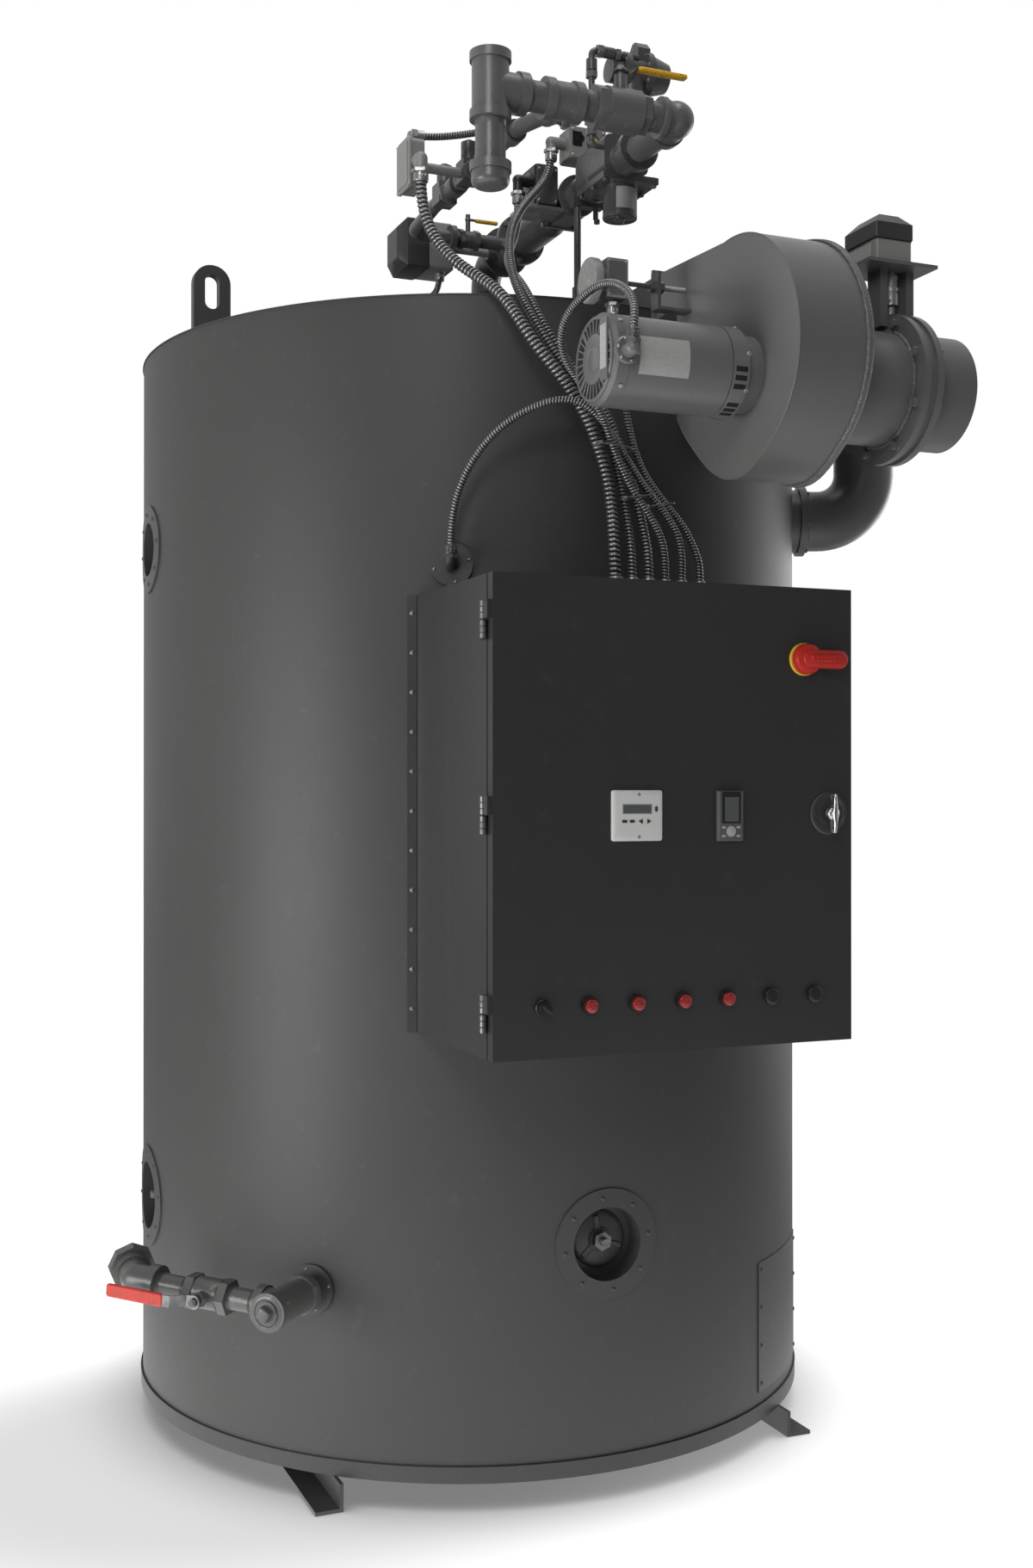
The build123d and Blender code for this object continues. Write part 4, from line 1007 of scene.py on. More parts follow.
@dataclass
class ControlPanel:
    """Instruments on the door, hinge knuckles, and the skirt's flange on the jacket."""

    face: float = -1.1446
    half_width: float = 0.393
    low: float = 0.9974
    high: float = 1.9114
    back: float = -0.908
    hinge: tuple[float, float] = (-0.401, -1.117)
    hinge_heights: tuple[float, ...] = (1.824, 1.457, 1.085)
    display_at: tuple[float, float] = (-0.095, 1.455)
    controller_at: tuple[float, float] = (0.108, 1.4535)
    row: float = 1.094
    lights: tuple[float, ...] = (-0.195, -0.095, 0.006, 0.103)
    caps: tuple[float, ...] = (0.203, 0.303)
    selector: float = -0.292
    selector_turn: float = -42.0
    latch: tuple[float, float] = (0.338, 1.457)
    disconnect: tuple[float, float] = (0.280, 1.767)
    jacket_radius: float = 0.8175
    screw_step: float = 0.0827
    entry_y: float = -0.950
    entries: tuple[tuple[float, float], ...] = (
        (-0.045, 0.0125), (-0.007, 0.0098), (0.031, 0.0098), (0.069, 0.0083), (0.107, 0.0083),
        (0.150, 0.0083))

    def at(self, x: float, z: float, out: float = 0.0) -> Seat:
        """Seat on the door's face at a place, so far in front of it."""
        return facing(Way.FRONT, (x, self.face - out, z))

    def display(self) -> None:
        """White display module: crowned cover, framed grey screen, keys and two screws."""
        seat = self.at(*self.display_at)
        cover = Shell()
        cover.prism(
            seat, rounded(0.108, 0.098, 0.005),
            ((-0.0005, 0.0), (0.0035, 0.0), (0.0065, 0.0015), (0.0078, 0.005), (0.008, 0.009)))
        piece = cover.build("display_cover", IVORY, "white_plastic", Body.DOOR)
        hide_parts("panel_display")
        rim = Shell()
        rim.slab(seat.moved(-0.002, 0.0126, 0.0075), rounded(0.0645, 0.0205, 0.001), 0.0, 0.001, 0.0004)
        rim.build("display_frame", PALE_GREY, "white_plastic", Body.DOOR)
        screen = Shell()
        screen.slab(seat.moved(-0.002, 0.0126, 0.0082), rounded(0.0605, 0.0165, 0.0005), 0.0, 0.0006, 0.0002)
        screen.build("display_screen", GREY_SCREEN, "white_plastic", Body.DOOR)
        keys = Shell()
        for side in (-0.029, -0.0128):
            keys.slab(seat.moved(side, -0.0109, 0.0078), rounded(0.0115, 0.0058, 0.0028), 0.0, 0.0012, 0.0004)
        for side, turn in ((0.0068, math.pi), (0.0223, 0.0)):
            keys.slab(seat.moved(side, -0.0109, 0.0078), disc(0.0058, 3, turn), 0.0, 0.0012, 0.0004)
        keys.slab(seat.moved(0.039, 0.0126, 0.0078), rounded(0.0062, 0.0112, 0.003), 0.0, 0.0012, 0.0004)
        keys.build("display_keys", CHARCOAL, "white_plastic", Body.DOOR)
        screws = Shell()
        for up in (-0.041, 0.0405):
            screw(screws, seat.moved(0.002, up, 0.0078), 0.0036, 0.0012)
        screws.build("display_screws", ZINC, "white_plastic", Body.DOOR)

    def controller(self) -> None:
        """Grey controller with a dark glass face above a round pad and four small keys."""
        seat = self.at(*self.controller_at)
        case = Shell()
        case.prism(
            seat, rounded(0.056, 0.099, 0.003),
            ((-0.0005, 0.0), (0.0085, 0.0), (0.0097, 0.0009), (0.01, 0.002)))
        case.build("controller_case", GREY_PLASTIC, "black_plastic", Body.DOOR)
        glass = Shell()
        glass.slab(seat.moved(0.0005, 0.0165, 0.0098), rounded(0.043, 0.063, 0.0015), 0.0, 0.0007, 0.0003)
        glass.build("controller_glass", BLACK, "black_plastic", Body.DOOR)
        screen = Shell()
        screen.slab(seat.moved(0.0015, 0.013, 0.0104), rounded(0.031, 0.048, 0.0005), 0.0, 0.0004, 0.0001)
        screen.build("controller_screen", GREY_SCREEN, "black_plastic", Body.DOOR)
        keys = Shell()
        keys.lathe(
            seat.moved(0.0, -0.0305, 0.0098),
            ((0.0105, 0.0), (0.0105, 0.0008), (0.0085, 0.0014), (0.0055, 0.001), (0.004, 0.0016),
             (0.0, 0.0018)))
        for side in (-0.0165, 0.0165):
            for up in (-0.0225, -0.0395):
                keys.slab(seat.moved(side, up, 0.0098), rounded(0.0085, 0.0045, 0.002), 0.0, 0.001, 0.0004)
        keys.build("controller_keys", PALE_GREY, "black_plastic", Body.DOOR)

    def row_of_lights(self) -> None:
        """Red lenses in black bezels, two black caps and the selector's bezel."""
        lenses, bezels = Shell(), Shell()
        for x in self.lights:
            seat = self.at(x, self.row)
            lenses.lathe(
                seat, ((0.0135, 0.006), (0.0135, 0.0135), (0.0125, 0.0155), (0.009, 0.0175), (0.0, 0.018)))
            bezels.lathe(seat, ((0.017, -0.0005), (0.017, 0.008), (0.0163, 0.0105), (0.0142, 0.0108),
                                (0.0138, 0.0068), (0.004, 0.0065), (0.004, -0.0005)), 40, True)
        for x in self.caps:
            bezels.lathe(
                self.at(x, self.row),
                ((0.0168, -0.0005), (0.017, 0.006), (0.0163, 0.0095), (0.0135, 0.0115), (0.009, 0.012),
                 (0.0, 0.012)))
        bezels.lathe(
            self.at(self.selector, self.row),
            ((0.017, -0.0005), (0.017, 0.007), (0.0158, 0.0088), (0.0125, 0.009), (0.0065, 0.009),
             (0.0065, -0.0005)), 40, True)
        piece = lenses.build("light_lenses", RED_LENS, "red_plastic", Body.DOOR)
        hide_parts("pilot_lights")
        piece = bezels.build("button_bezels", BLACK, "black_plastic", Body.DOOR)
        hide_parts("panel_controls")

    def selector_knob(self) -> None:
        """Selector: round skirt, a bar with a pointed nose and a white line, turned down to the right."""
        seat = self.at(self.selector, self.row)
        turn = math.radians(self.selector_turn)
        knob = Shell()
        knob.lathe(
            seat,
            ((0.0058, 0.001), (0.0058, 0.0095), (0.0128, 0.0096), (0.0132, 0.013), (0.0122, 0.0165),
             (0.0, 0.0175)))
        bar = Seat(seat.point, (0.0, -1.0, 0.0), (-math.sin(turn), 0.0, math.cos(turn)))
        knob.prism(
            bar.moved(0.0015), rounded(0.0265, 0.0088, 0.004),
            ((0.0145, 0.0), (0.0235, 0.0004), (0.0262, 0.0016), (0.027, 0.0034)))
        piece = knob.build("selector_bar", BLACK, "black_plastic", Body.SELECTOR)
        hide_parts("selector_knob")
        line = Shell()
        line.slab(bar.moved(-0.0015, 0.0, 0.0262), rounded(0.014, 0.0013, 0.0006), 0.0, 0.0008, 0.0002)
        line.build("selector_line", IVORY, "black_plastic", Body.SELECTOR)

    def latch_set(self) -> None:
        """Dark dished latch plate and the bright wing handle in it."""
        seat = self.at(*self.latch)
        plate = Shell()
        plate.lathe(
            seat,
            ((0.043, -0.0005), (0.043, 0.002), (0.0405, 0.0046), (0.0375, 0.005), (0.0345, 0.0036),
             (0.0325, 0.0018), (0.0068, 0.0016), (0.0068, -0.0005)), 56, True)
        piece = plate.build("latch_dish", CHARCOAL, "bare_steel", Body.DOOR)
        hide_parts("latch_plate")
        wing = Shell()
        wing.lathe(
            seat,
            ((0.0058, 0.001), (0.0058, 0.011), (0.0135, 0.0112), (0.0138, 0.021), (0.0115, 0.0245),
             (0.0, 0.026)))
        heights = np.linspace(-0.039, 0.039, 25)
        share = np.abs(heights) / 0.039
        widths = 0.0042 + 0.0026 * np.exp(-((share * 2.6) ** 2)) - 0.0012 * share ** 6
        depths = 0.0105 - 0.0032 * share ** 3
        angles = whole_turn(20)
        lean = blunt(np.cos(angles), 0.7)
        rise = blunt(np.sin(angles), 0.7)
        rings = np.stack([widths[:, None] * lean[None, :],
                          np.repeat(heights[:, None], len(angles), axis=1),
                          0.0212 + depths[:, None] * rise[None, :]], -1)
        wing.loft(seat.put(rings))
        piece = wing.build("latch_wing", CHROME, "bare_steel", Body.LATCH, 50.0)
        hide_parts("latch_handle")

    def disconnect_set(self) -> None:
        """Yellow ring and the red hub and grip of the main disconnect."""
        seat = self.at(*self.disconnect)
        ring = Shell()
        ring.lathe(
            seat,
            ((0.033, -0.0005), (0.033, 0.0035), (0.0318, 0.005), (0.012, 0.0052), (0.0072, 0.005),
             (0.0072, -0.0005)), 48, True)
        piece = ring.build("disconnect_surround", YELLOW_PLASTIC, "yellow_plastic", Body.DOOR)
        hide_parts("disconnect_ring")
        hub = Shell()
        hub.lathe(
            seat,
            ((0.0058, 0.001), (0.0058, 0.0085), (0.0305, 0.0086), (0.031, 0.011), (0.0305, 0.0205),
             (0.028, 0.0255), (0.02, 0.0285), (0.0, 0.0295)), 48)
        grip = rounded(0.108, 0.038, 0.0188, 9)
        hub.prism(
            seat.moved(0.035), grip,
            ((0.0125, 0.0035), (0.0135, 0.001), (0.017, 0.0), (0.0255, 0.0006), (0.0300, 0.003),
             (0.0325, 0.008)))
        hub.prism(
            seat.moved(0.031), rounded(0.066, 0.0125, 0.002),
            ((0.03, 0.0), (0.0365, 0.0003), (0.0375, 0.0012)))
        for step in range(6):
            hub.slab(
                seat.moved(0.012 + step * 0.0075), rounded(0.0022, 0.0118, 0.0008), 0.0368, 0.0386, 0.0005)
        piece = hub.build("disconnect_grip", RED_PLASTIC, "red_plastic", Body.DISCONNECT)
        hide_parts("disconnect_handle")

    def knuckles(self) -> None:
        """Rolled knuckles on the hinge pins: the upper half turns with the door."""
        for body, first, name in (
                (Body.BOILER, -0.036, "hinge_knuckles_low"), (Body.DOOR, 0.0015, "hinge_knuckles_high")):
            shell = Shell()
            for height in self.hinge_heights:
                for step in range(3):
                    low = height + first + step * 0.0117
                    seat = facing(Way.UP, (*self.hinge, low))
                    shell.lathe(seat, ((0.0062, 0.0), (0.007, 0.0006), (0.007, 0.0098), (0.0062, 0.0104)), 24)
            shell.build(name, DULL_STEEL, "bare_steel", body)

    def flange(self) -> None:
        """Flanges of the skirt on the jacket, each with a row of screws, and the seam of the box's back."""
        strip, screws, seam = Shell(), Shell(), Shell()
        start = math.degrees(math.asin(self.half_width / self.jacket_radius))
        middle = (self.low + self.high) / 2
        for sign in (-1, 1):
            turn = -90 + sign * (start + 0.7)
            seat = on_jacket(turn, middle, self.jacket_radius)
            strip.slab(seat, rounded(0.021, self.high - self.low, 0.001), -0.001, 0.0022, 0.0006)
            for z in np.arange(self.low + 0.05, self.high - 0.03, self.screw_step):
                screw(screws, on_jacket(turn, float(z), self.jacket_radius + 0.002), 0.0052, 0.0032)
            side = Seat((sign * self.half_width, self.back, middle), (float(sign), 0.0, 0.0), (0.0, 0.0, 1.0))
            seam.slab(side, rounded(0.0022, self.high - self.low, 0.0004), -0.0005, 0.0004, 0.0001)
        strip.build("skirt_flanges", PANEL_PAINT, "panel_paint")
        screws.build("skirt_screws", DULL_STEEL, "bare_steel")
        seam.build("box_seams", TRIM, "panel_paint")

    def connectors(self) -> None:
        """Locknut, hexagonal body, clamp and screw of each conduit connector on the panel's top."""
        shell = Shell()
        for x, radius in self.entries:
            seat = facing(Way.UP, (x, self.entry_y, self.high))
            shell.prism(seat, disc(radius + 0.0065, 16), ((-0.0005, 0.0), (0.0042, 0.0), (0.005, 0.0008)))
            shell.prism(
                seat, hexagon(2 * radius + 0.0085, 0.4 + x), ((0.004, 0.0), (0.0125, 0.0), (0.0135, 0.001)))
            shell.lathe(
                seat,
                ((radius + 0.0028, 0.0125), (radius + 0.0034, 0.0145), (radius + 0.0034, 0.0265),
                 (radius + 0.0022, 0.0285), (radius + 0.0004, 0.0288), (radius - 0.001, 0.0135)), 28, True)
            screw(shell, facing(Way.FRONT, (x - 0.002, self.entry_y - radius - 0.0028, self.high + 0.020)),
                  0.0032, 0.003)
        shell.build("panel_connectors", ZINC, "bare_steel")

    def build(self) -> None:
        """Make every piece of the panel."""
        self.display()
        self.controller()
        self.row_of_lights()
        self.selector_knob()
        self.latch_set()
        self.disconnect_set()
        self.knuckles()
        self.flange()
        self.connectors()


# Blower


@dataclass
class Blower:
    """Motor, scroll, damper and actuator details on the shaft's axis along X."""

    axis_y: float = -1.1923
    axis_z: float = 2.3127
    motor_radius: float = 0.086
    motor_left: float = -0.206
    spokes: int = 28
    vents: tuple[float, ...] = (
        -8.0, -19.0, -30.0, -56.0, -66.0, -76.0, -104.0, -114.0, -124.0, 150.0, 162.0, 174.0)
    scroll_left: float = 0.1174
    scroll_right: float = 0.266
    rim: float = 0.0096
    rim_proud: float = 0.005
    neck: tuple[float, float] = (2.5186, 2.6135)
    outlet_y: float = -0.811
    damper: tuple[float, float] = (0.434, 0.478)
    collar: tuple[float, float] = (-22.0, 2.195)
    switch_at: tuple[float, float] = (-0.960, 2.536)
    stand_top: float = 2.558
    spiral: tuple[tuple[float, float], ...] = (
        (-15, 0.294), (0, 0.279), (23, 0.254), (43, 0.232), (66, 0.213), (90, 0.198), (120, 0.182),
        (147, 0.174), (185, 0.195), (205, 0.206), (220, 0.213), (243, 0.235), (265, 0.283))

    def on_axis(self, x: float, way: float = 1.0) -> Seat:
        """Seat on the shaft's axis, facing along X or back along it."""
        return Seat((x, self.axis_y, self.axis_z), (way, 0.0, 0.0), (0.0, 0.0, 1.0))

    def on_body(self, x: float, turn: float, radius: float) -> Seat:
        """Seat on a cylinder round the shaft: turn in degrees up from the front."""
        a = math.radians(turn)
        out = (0.0, -math.cos(a), math.sin(a))
        return Seat((x, self.axis_y + radius * out[1], self.axis_z + radius * out[2]), out, (1.0, 0.0, 0.0))

    def patch(self, shell: Shell, span: tuple[float, float], turns: tuple[float, float], radius: float,
              thick: float) -> None:
        """Curved plate on a cylinder round the shaft.

        Args:
            shell: Mesh that takes the plate.
            span: Ends along X.
            turns: Lower and upper edge, in degrees up from the front.
            radius: Radius of its inner face.
            thick: Thickness.
        """
        angles = np.radians(np.linspace(turns[0], turns[1], 14))
        rings = []
        for x in span:
            outer = np.stack([np.full_like(angles, x), self.axis_y - (radius + thick) * np.cos(angles),
                              self.axis_z + (radius + thick) * np.sin(angles)], 1)
            inner = np.stack([np.full_like(angles, x), self.axis_y - radius * np.cos(angles),
                              self.axis_z + radius * np.sin(angles)], 1)
            rings.append(np.concatenate([outer, inner[::-1]]))
        shell.loft(np.array(rings))

    def motor_end(self) -> None:
        """Fan cover at the motor's left end: painted shade in the openings behind spokes, boss, rim and blank
        labels.
        """
        seat = self.on_axis(self.motor_left, -1.0)
        dark, cover = Shell(), Shell()
        # dark hoop of painted shade seen through the openings between the spokes
        dark.hoop(seat, (0.04, 0.075), (-0.0005, 0.0006), 64)
        dark.build("fan_opening_shade", GAP_AND_SHADE, "shell_paint")
        cover.lathe(
            seat, ((0.0795, -0.002), (0.0798, 0.0015), (0.0775, 0.0038), (0.0738, 0.0038), (0.073, 0.0)), 64,
            True)
        cover.lathe(
            seat,
            ((0.047, -0.0005), (0.0468, 0.0028), (0.043, 0.0036), (0.026, 0.0036), (0.0245, 0.002),
             (0.02, 0.0042), (0.0, 0.0048)), 48)
        for step in range(self.spokes):
            a = 2 * math.pi * step / self.spokes
            width = 0.0085 if step % 7 == 3 else 0.0033
            cover.slab(seat.around(0.06, a), rounded(0.0285, width, 0.0005, 2), 0.0004, 0.0034, 0.0006)
        cover.build("fan_cover", MOTOR_PAINT, "shell_paint")
        plate = Shell()
        face = seat.moved(0.052, 0.008)
        plate.slab(face, rounded(0.031, 0.118, 0.004), 0.0035, 0.0072, 0.0008)
        plate.build("label_bracket", MOTOR_PAINT, "shell_paint")
        label = Shell()
        label.slab(face.moved(0.0, 0.004, 0.007), rounded(0.025, 0.082, 0.002), 0.0, 0.0008, 0.0002)
        self.patch(label, (-0.153, -0.049), (-27.0, 21.0), self.motor_radius - 0.0001, 0.0007)
        label.build("motor_labels", LABEL, "white_plastic")

    def motor_body(self) -> None:
        """Seams, end bell with painted shade for its vents, terminal cover and bolts of the motor."""
        band, dark, small = Shell(), Shell(), Shell()
        seat = self.on_axis(0.0)
        radius = self.motor_radius
        for low, high, grow in ((0.044, 0.0812, 0.0012), (-0.1975, -0.172, 0.0009)):
            band.lathe(
                seat,
                ((radius - 0.002, low), (radius + grow, low + 0.0008), (radius + grow, high - 0.002),
                 (radius - 0.002, high)), 72, True)
        band.lathe(seat, ((0.069, 0.081), (0.0688, 0.117), (0.074, 0.1176), (0.074, 0.0812)), 60, True)
        dark.lathe(seat, ((radius - 0.002, 0.0425), (radius + 0.0003, 0.0428), (radius + 0.0003, 0.044),
                          (radius - 0.002, 0.0442)), 72, True)
        # each vent is a dark patch of painted shade with no opening cut; the ring above is a dark seam
        for turn in self.vents:
            self.patch(dark, (0.0495, 0.0745), (turn - 3.2, turn + 3.2), radius + 0.0008, 0.0008)
        cover = self.on_body(-0.180, 0.0, radius - 0.001)
        band.lathe(cover, ((0.026, -0.004), (0.0265, 0.003), (0.0235, 0.006), (0.016, 0.0065)), 36)
        for place in ring_of(cover, 0.0205, 6, 0.3):
            screw(small, place.moved(0, 0, 0.006), 0.0032, 0.0026)
        for turn in (44.0, 66.0, -44.0, 90.0):
            bolt(small, self.on_body(-0.183, turn, radius), 0.009, 0.004)
        for turn in (12.0, -34.0, 70.0):
            bolt(small, self.on_body(0.078, turn, radius - 0.001), 0.009, 0.0035)
        band.build("motor_bands", MOTOR_PAINT, "shell_paint")
        dark.build("motor_seam_and_vent_shade", GAP_AND_SHADE, "shell_paint")
        small.build("motor_screws", GALVANISED, "bare_steel")

    def outline(self, proud: float) -> np.ndarray:
        """Side view of the scroll's spiral, as points on a cubic through its measured radii.

        Args:
            proud: Distance outside the spiral.

        Returns:
            Points in the plane across X, as rows of y and z.
        """
        turns, radii = np.array(self.spiral).T
        knots = np.radians(turns)
        slopes = np.gradient(radii, knots)
        rows = []
        for a in np.linspace(knots[0], knots[-1], 170):
            index = min(max(int(np.searchsorted(knots, a)) - 1, 0), len(knots) - 2)
            step = knots[index + 1] - knots[index]
            t = (a - knots[index]) / step
            radius = proud + (2 * t ** 3 - 3 * t ** 2 + 1) * radii[index]
            radius += (t ** 3 - 2 * t ** 2 + t) * step * slopes[index]
            radius += (3 * t ** 2 - 2 * t ** 3) * radii[index + 1]
            radius += (t ** 3 - t ** 2) * step * slopes[index + 1]
            rows.append((self.axis_y - radius * math.sin(a), self.axis_z + radius * math.cos(a)))
        return np.array(rows)

    def housing(self) -> None:
        """Scroll and its back plate, whose outline runs smoothly up to the outlet neck, and the flange."""
        shell = Shell()
        for low, high, proud in ((self.scroll_left, self.scroll_right, 0.0),
                                 (self.scroll_right - 0.001, self.scroll_right + self.rim, self.rim_proud)):
            line = self.outline(proud)
            base, top = self.neck[0] - proud, self.neck[1] + proud
            flat = np.vstack([line, [(line[-1, 0], base), (self.outlet_y, base), (self.outlet_y, top)]])
            shell.loft(np.array([np.column_stack([np.full(len(flat), x), flat]) for x in (low, high)]))
        flange = facing(Way.FRONT, (0.1965, self.outlet_y - 0.004, 2.55355))
        shell.slab(flange, rounded(0.1782, 0.1399, 0.001, 2), -0.004, 0.004)
        piece = shell.build("scroll_body", BLOWER_PAINT, "shell_paint")
        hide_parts("scroll_housing")

    def scroll(self) -> None:
        """Weld beads round the scroll's two seams and the dark gasket behind its back plate."""
        bead, seam, dark = Shell(), Shell(), Shell()
        line = self.outline(0.002)
        wobble = 0.0008 * np.sin(np.arange(len(line)) * 2.1) + 0.0005 * np.sin(np.arange(len(line)) * 5.3)
        path = np.column_stack([np.full(len(line), self.scroll_right + 0.0005) + wobble, line])
        bead.tube(path, 0.0036, 8)
        line = self.outline(0.0045)
        bead.tube(
            np.column_stack([np.full(len(line), self.scroll_right + self.rim) + wobble * 0.4, line]), 0.0018,
            8)
        line = self.outline(-0.0006)
        seam.tube(np.column_stack([np.full(len(line), self.scroll_left + 0.0006), line]), 0.0016, 8)
        seam.build("scroll_seam", BLOWER_PAINT, "shell_paint")
        turn = whole_turn(160)
        for x, radius, size in ((self.damper[0] - 0.002, 0.1145, 0.0042), (0.2895, 0.1215, 0.0026)):
            shake = 1 + 0.006 * np.sin(turn * 41) + 0.004 * np.sin(turn * 67)
            ring = np.column_stack([np.full_like(turn, x), self.axis_y + radius * shake * np.cos(turn),
                                    self.axis_z + radius * shake * np.sin(turn)])
            bead.tube(ring, size, 8, True)
        a = math.radians(self.collar[0])
        out = np.array([math.cos(a), math.sin(a), 0.0])
        side = np.array([-math.sin(a), math.cos(a), 0.0])
        shake = 0.0775 * (1 + 0.008 * np.sin(turn * 37))
        ring = (out * 0.859 + np.array([0, 0, self.collar[1]]) + side * (shake * np.cos(turn))[:, None]
                + np.array([0, 0, 1.0]) * (shake * np.sin(turn))[:, None])
        bead.tube(ring, 0.0034, 8, True)
        bead.build("blower_welds", WELD, "shell_paint")
        seat = self.on_axis(0.0)
        start = self.scroll_right + self.rim
        dark.hoop(seat, (0.118, 0.1228), (start, start + 0.0125), 72)
        dark.hoop(seat, (0.117, 0.1216), (self.damper[1], self.damper[1] + 0.0022), 72)
        dark.build("blower_gaskets", GAP_AND_SHADE, "shell_paint")

    def flanges(self) -> None:
        """Hexagonal bolts and nuts round the damper, the recirculation collar and the outlet flange."""
        shell = Shell()
        for place in ring_of(self.on_axis(self.damper[0], -1.0), 0.1315, 8, 0.39):
            bolt(shell, place, 0.0165, 0.0085, 0.0135)
        for place in ring_of(self.on_axis(self.damper[1]), 0.1335, 8, 0.39):
            bolt(shell, place, 0.0155, 0.009, 0.012)
        for place in ring_of(on_jacket(*self.collar, 0.8575), 0.0835, 6, 0.2):
            bolt(shell, place, 0.009, 0.006)
        for z in (2.505, 2.535, 2.565, 2.60):
            bolt(shell, facing(Way.FRONT, (self.scroll_left - 0.005, -0.819, z)), 0.008, 0.005)
        shell.build("blower_bolts", BLOWER_PAINT, "shell_paint")

    def actuator(
            self, seat: Seat, size: tuple[float, float, float], cap: Shell, base: Shell, edge: Shell) -> None:
        """Boxy actuator: pale base, parting line and dark cap with a bevelled end.

        Args:
            seat: Middle of its foot, facing along its height.
            size: Width, depth and height.
            cap: Mesh that takes the dark cap.
            base: Mesh that takes the base.
            edge: Mesh that takes the parting line.
        """
        width, depth, height = size
        split = height * 0.45
        base.slab(seat, rounded(width, depth, 0.006), 0.0, split + 0.0005, 0.0015)
        edge.slab(seat, rounded(width + 0.0015, depth + 0.0015, 0.006), split - 0.003, split + 0.001, 0.0006)
        cap.prism(seat, rounded(width + 0.004, depth + 0.004, 0.004),
                  ((split, 0.0012), (split + 0.0012, 0.0), (height - 0.022, 0.0), (height - 0.0006, 0.0214),
                   (height, 0.023)))

    def actuators(self) -> None:
        """The damper's actuator on its stand and the firing actuator beside the butterfly valve."""
        cap, base, edge = Shell(), Shell(), Shell()
        stand = facing(Way.UP, (0.427, self.axis_y, self.stand_top))
        firing = facing(Way.LEFT, (-0.084, -0.034, 2.864))
        self.actuator(stand, (0.084, 0.110, 0.097), cap, base, edge)
        self.actuator(firing, (0.116, 0.116, 0.137), cap, base, edge)
        base.slab(facing(Way.LEFT, (-0.081, -0.034, 2.859)), rounded(0.112, 0.106, 0.004), -0.003, 0.003)
        rod = facing(Way.LEFT, (0.018, -0.076, 2.864))
        base.lathe(rod, ((0.0105, 0.0), (0.0105, 0.102)), 24)
        base.lathe(facing(Way.DOWN, (-0.104, -0.060, 2.814)),
                   ((0.0085, -0.002), (0.0085, 0.014), (0.0105, 0.0145), (0.0105, 0.02)), 24)
        piece = cap.build("actuator_caps", CHARCOAL, "black_plastic", sharp=20.0)
        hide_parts("actuators")
        base.build("actuator_bases", ALUMINIUM, "black_plastic")
        edge.build("actuator_seams", GAP_AND_SHADE, "black_plastic")
        label = Shell()
        label.slab(facing(Way.LEFT, (0.3845, self.axis_y + 0.004, 2.5785)), rounded(0.082, 0.030, 0.001),
                   0.0, 0.0009, 0.0002)
        label.build("actuator_label", LABEL, "white_plastic")
        steel = Shell()
        for place in corners(facing(Way.UP, (0.427, -1.19225, self.stand_top)), 0.035, 0.03925):
            screw(steel, place, 0.004, 0.003)
        shaft = facing(Way.UP, (0.456, self.axis_y, 2.4622))
        steel.lathe(
            shaft,
            ((0.0086, 0.0), (0.0086, 0.02), (0.0165, 0.0215), (0.0168, 0.044), (0.0155, 0.0452),
             (0.0155, 0.0475), (0.0172, 0.0487), (0.0172, 0.058), (0.0148, 0.0592), (0.0148, 0.0745),
             (0.0158, 0.0757), (0.0158, 0.0818), (0.0095, 0.083), (0.0095, 0.089)), 36)
        for up, turn in ((0.030, -40.0), (0.053, 20.0), (0.067, -75.0)):
            a = math.radians(turn)
            place = shaft.moved(0.0163 * math.sin(a), -0.0163 * math.cos(a), up)
            screw(steel, Seat(place.point, (math.sin(a), -math.cos(a), 0.0), UPRIGHT), 0.0038, 0.0024)
        steel.build("stand_coupling", GALVANISED, "bare_steel")

    def switch(self) -> None:
        """Air pressure switch: diaphragm cover with its screws, front plate and ridges of the tube."""
        y, z = self.switch_at
        seat = facing(Way.LEFT, (-0.113, y, z))
        cover, small = Shell(), Shell()
        cover.lathe(
            seat,
            ((0.0455, -0.016), (0.0462, -0.003), (0.0445, 0.001), (0.037, 0.0022), (0.0345, 0.0012),
             (0.013, 0.0018), (0.0105, 0.0042), (0.0, 0.0048)), 52)
        for place in ring_of(seat.moved(0, 0, 0.0018), 0.029, 6, 0.4):
            screw(small, place, 0.0034, 0.0022)
        for place in ring_of(facing(Way.RIGHT, (-0.098, y, z)), 0.0395, 6, 0.1):
            screw(small, place, 0.0035, 0.003)
        front = facing(Way.FRONT, (-0.057, -0.984, z + 0.005))
        cover.slab(front, rounded(0.0475, 0.0795, 0.003), -0.0008, 0.0015, 0.0006)
        cover.build("switch_cover", ALUMINIUM, "pipe_paint")
        inset = Shell()
        inset.slab(front.moved(0, 0, 0.0014), rounded(0.039, 0.068, 0.002), 0.0, 0.0009, 0.0003)
        inset.build("switch_panel", BLOWER_PAINT, "pipe_paint")
        for place in corners(front, 0.0185, 0.034, 0.0015):
            screw(small, place, 0.0024, 0.0018)
        for step in range(14):
            x = 0.062 + step * 0.0034
            small.lathe(
                facing(Way.RIGHT, (x, y, z + 0.004)), ((0.0049, 0), (0.0057, 0.0017), (0.0049, 0.0034)), 16)
        small.build("switch_screws", GALVANISED, "bare_steel")

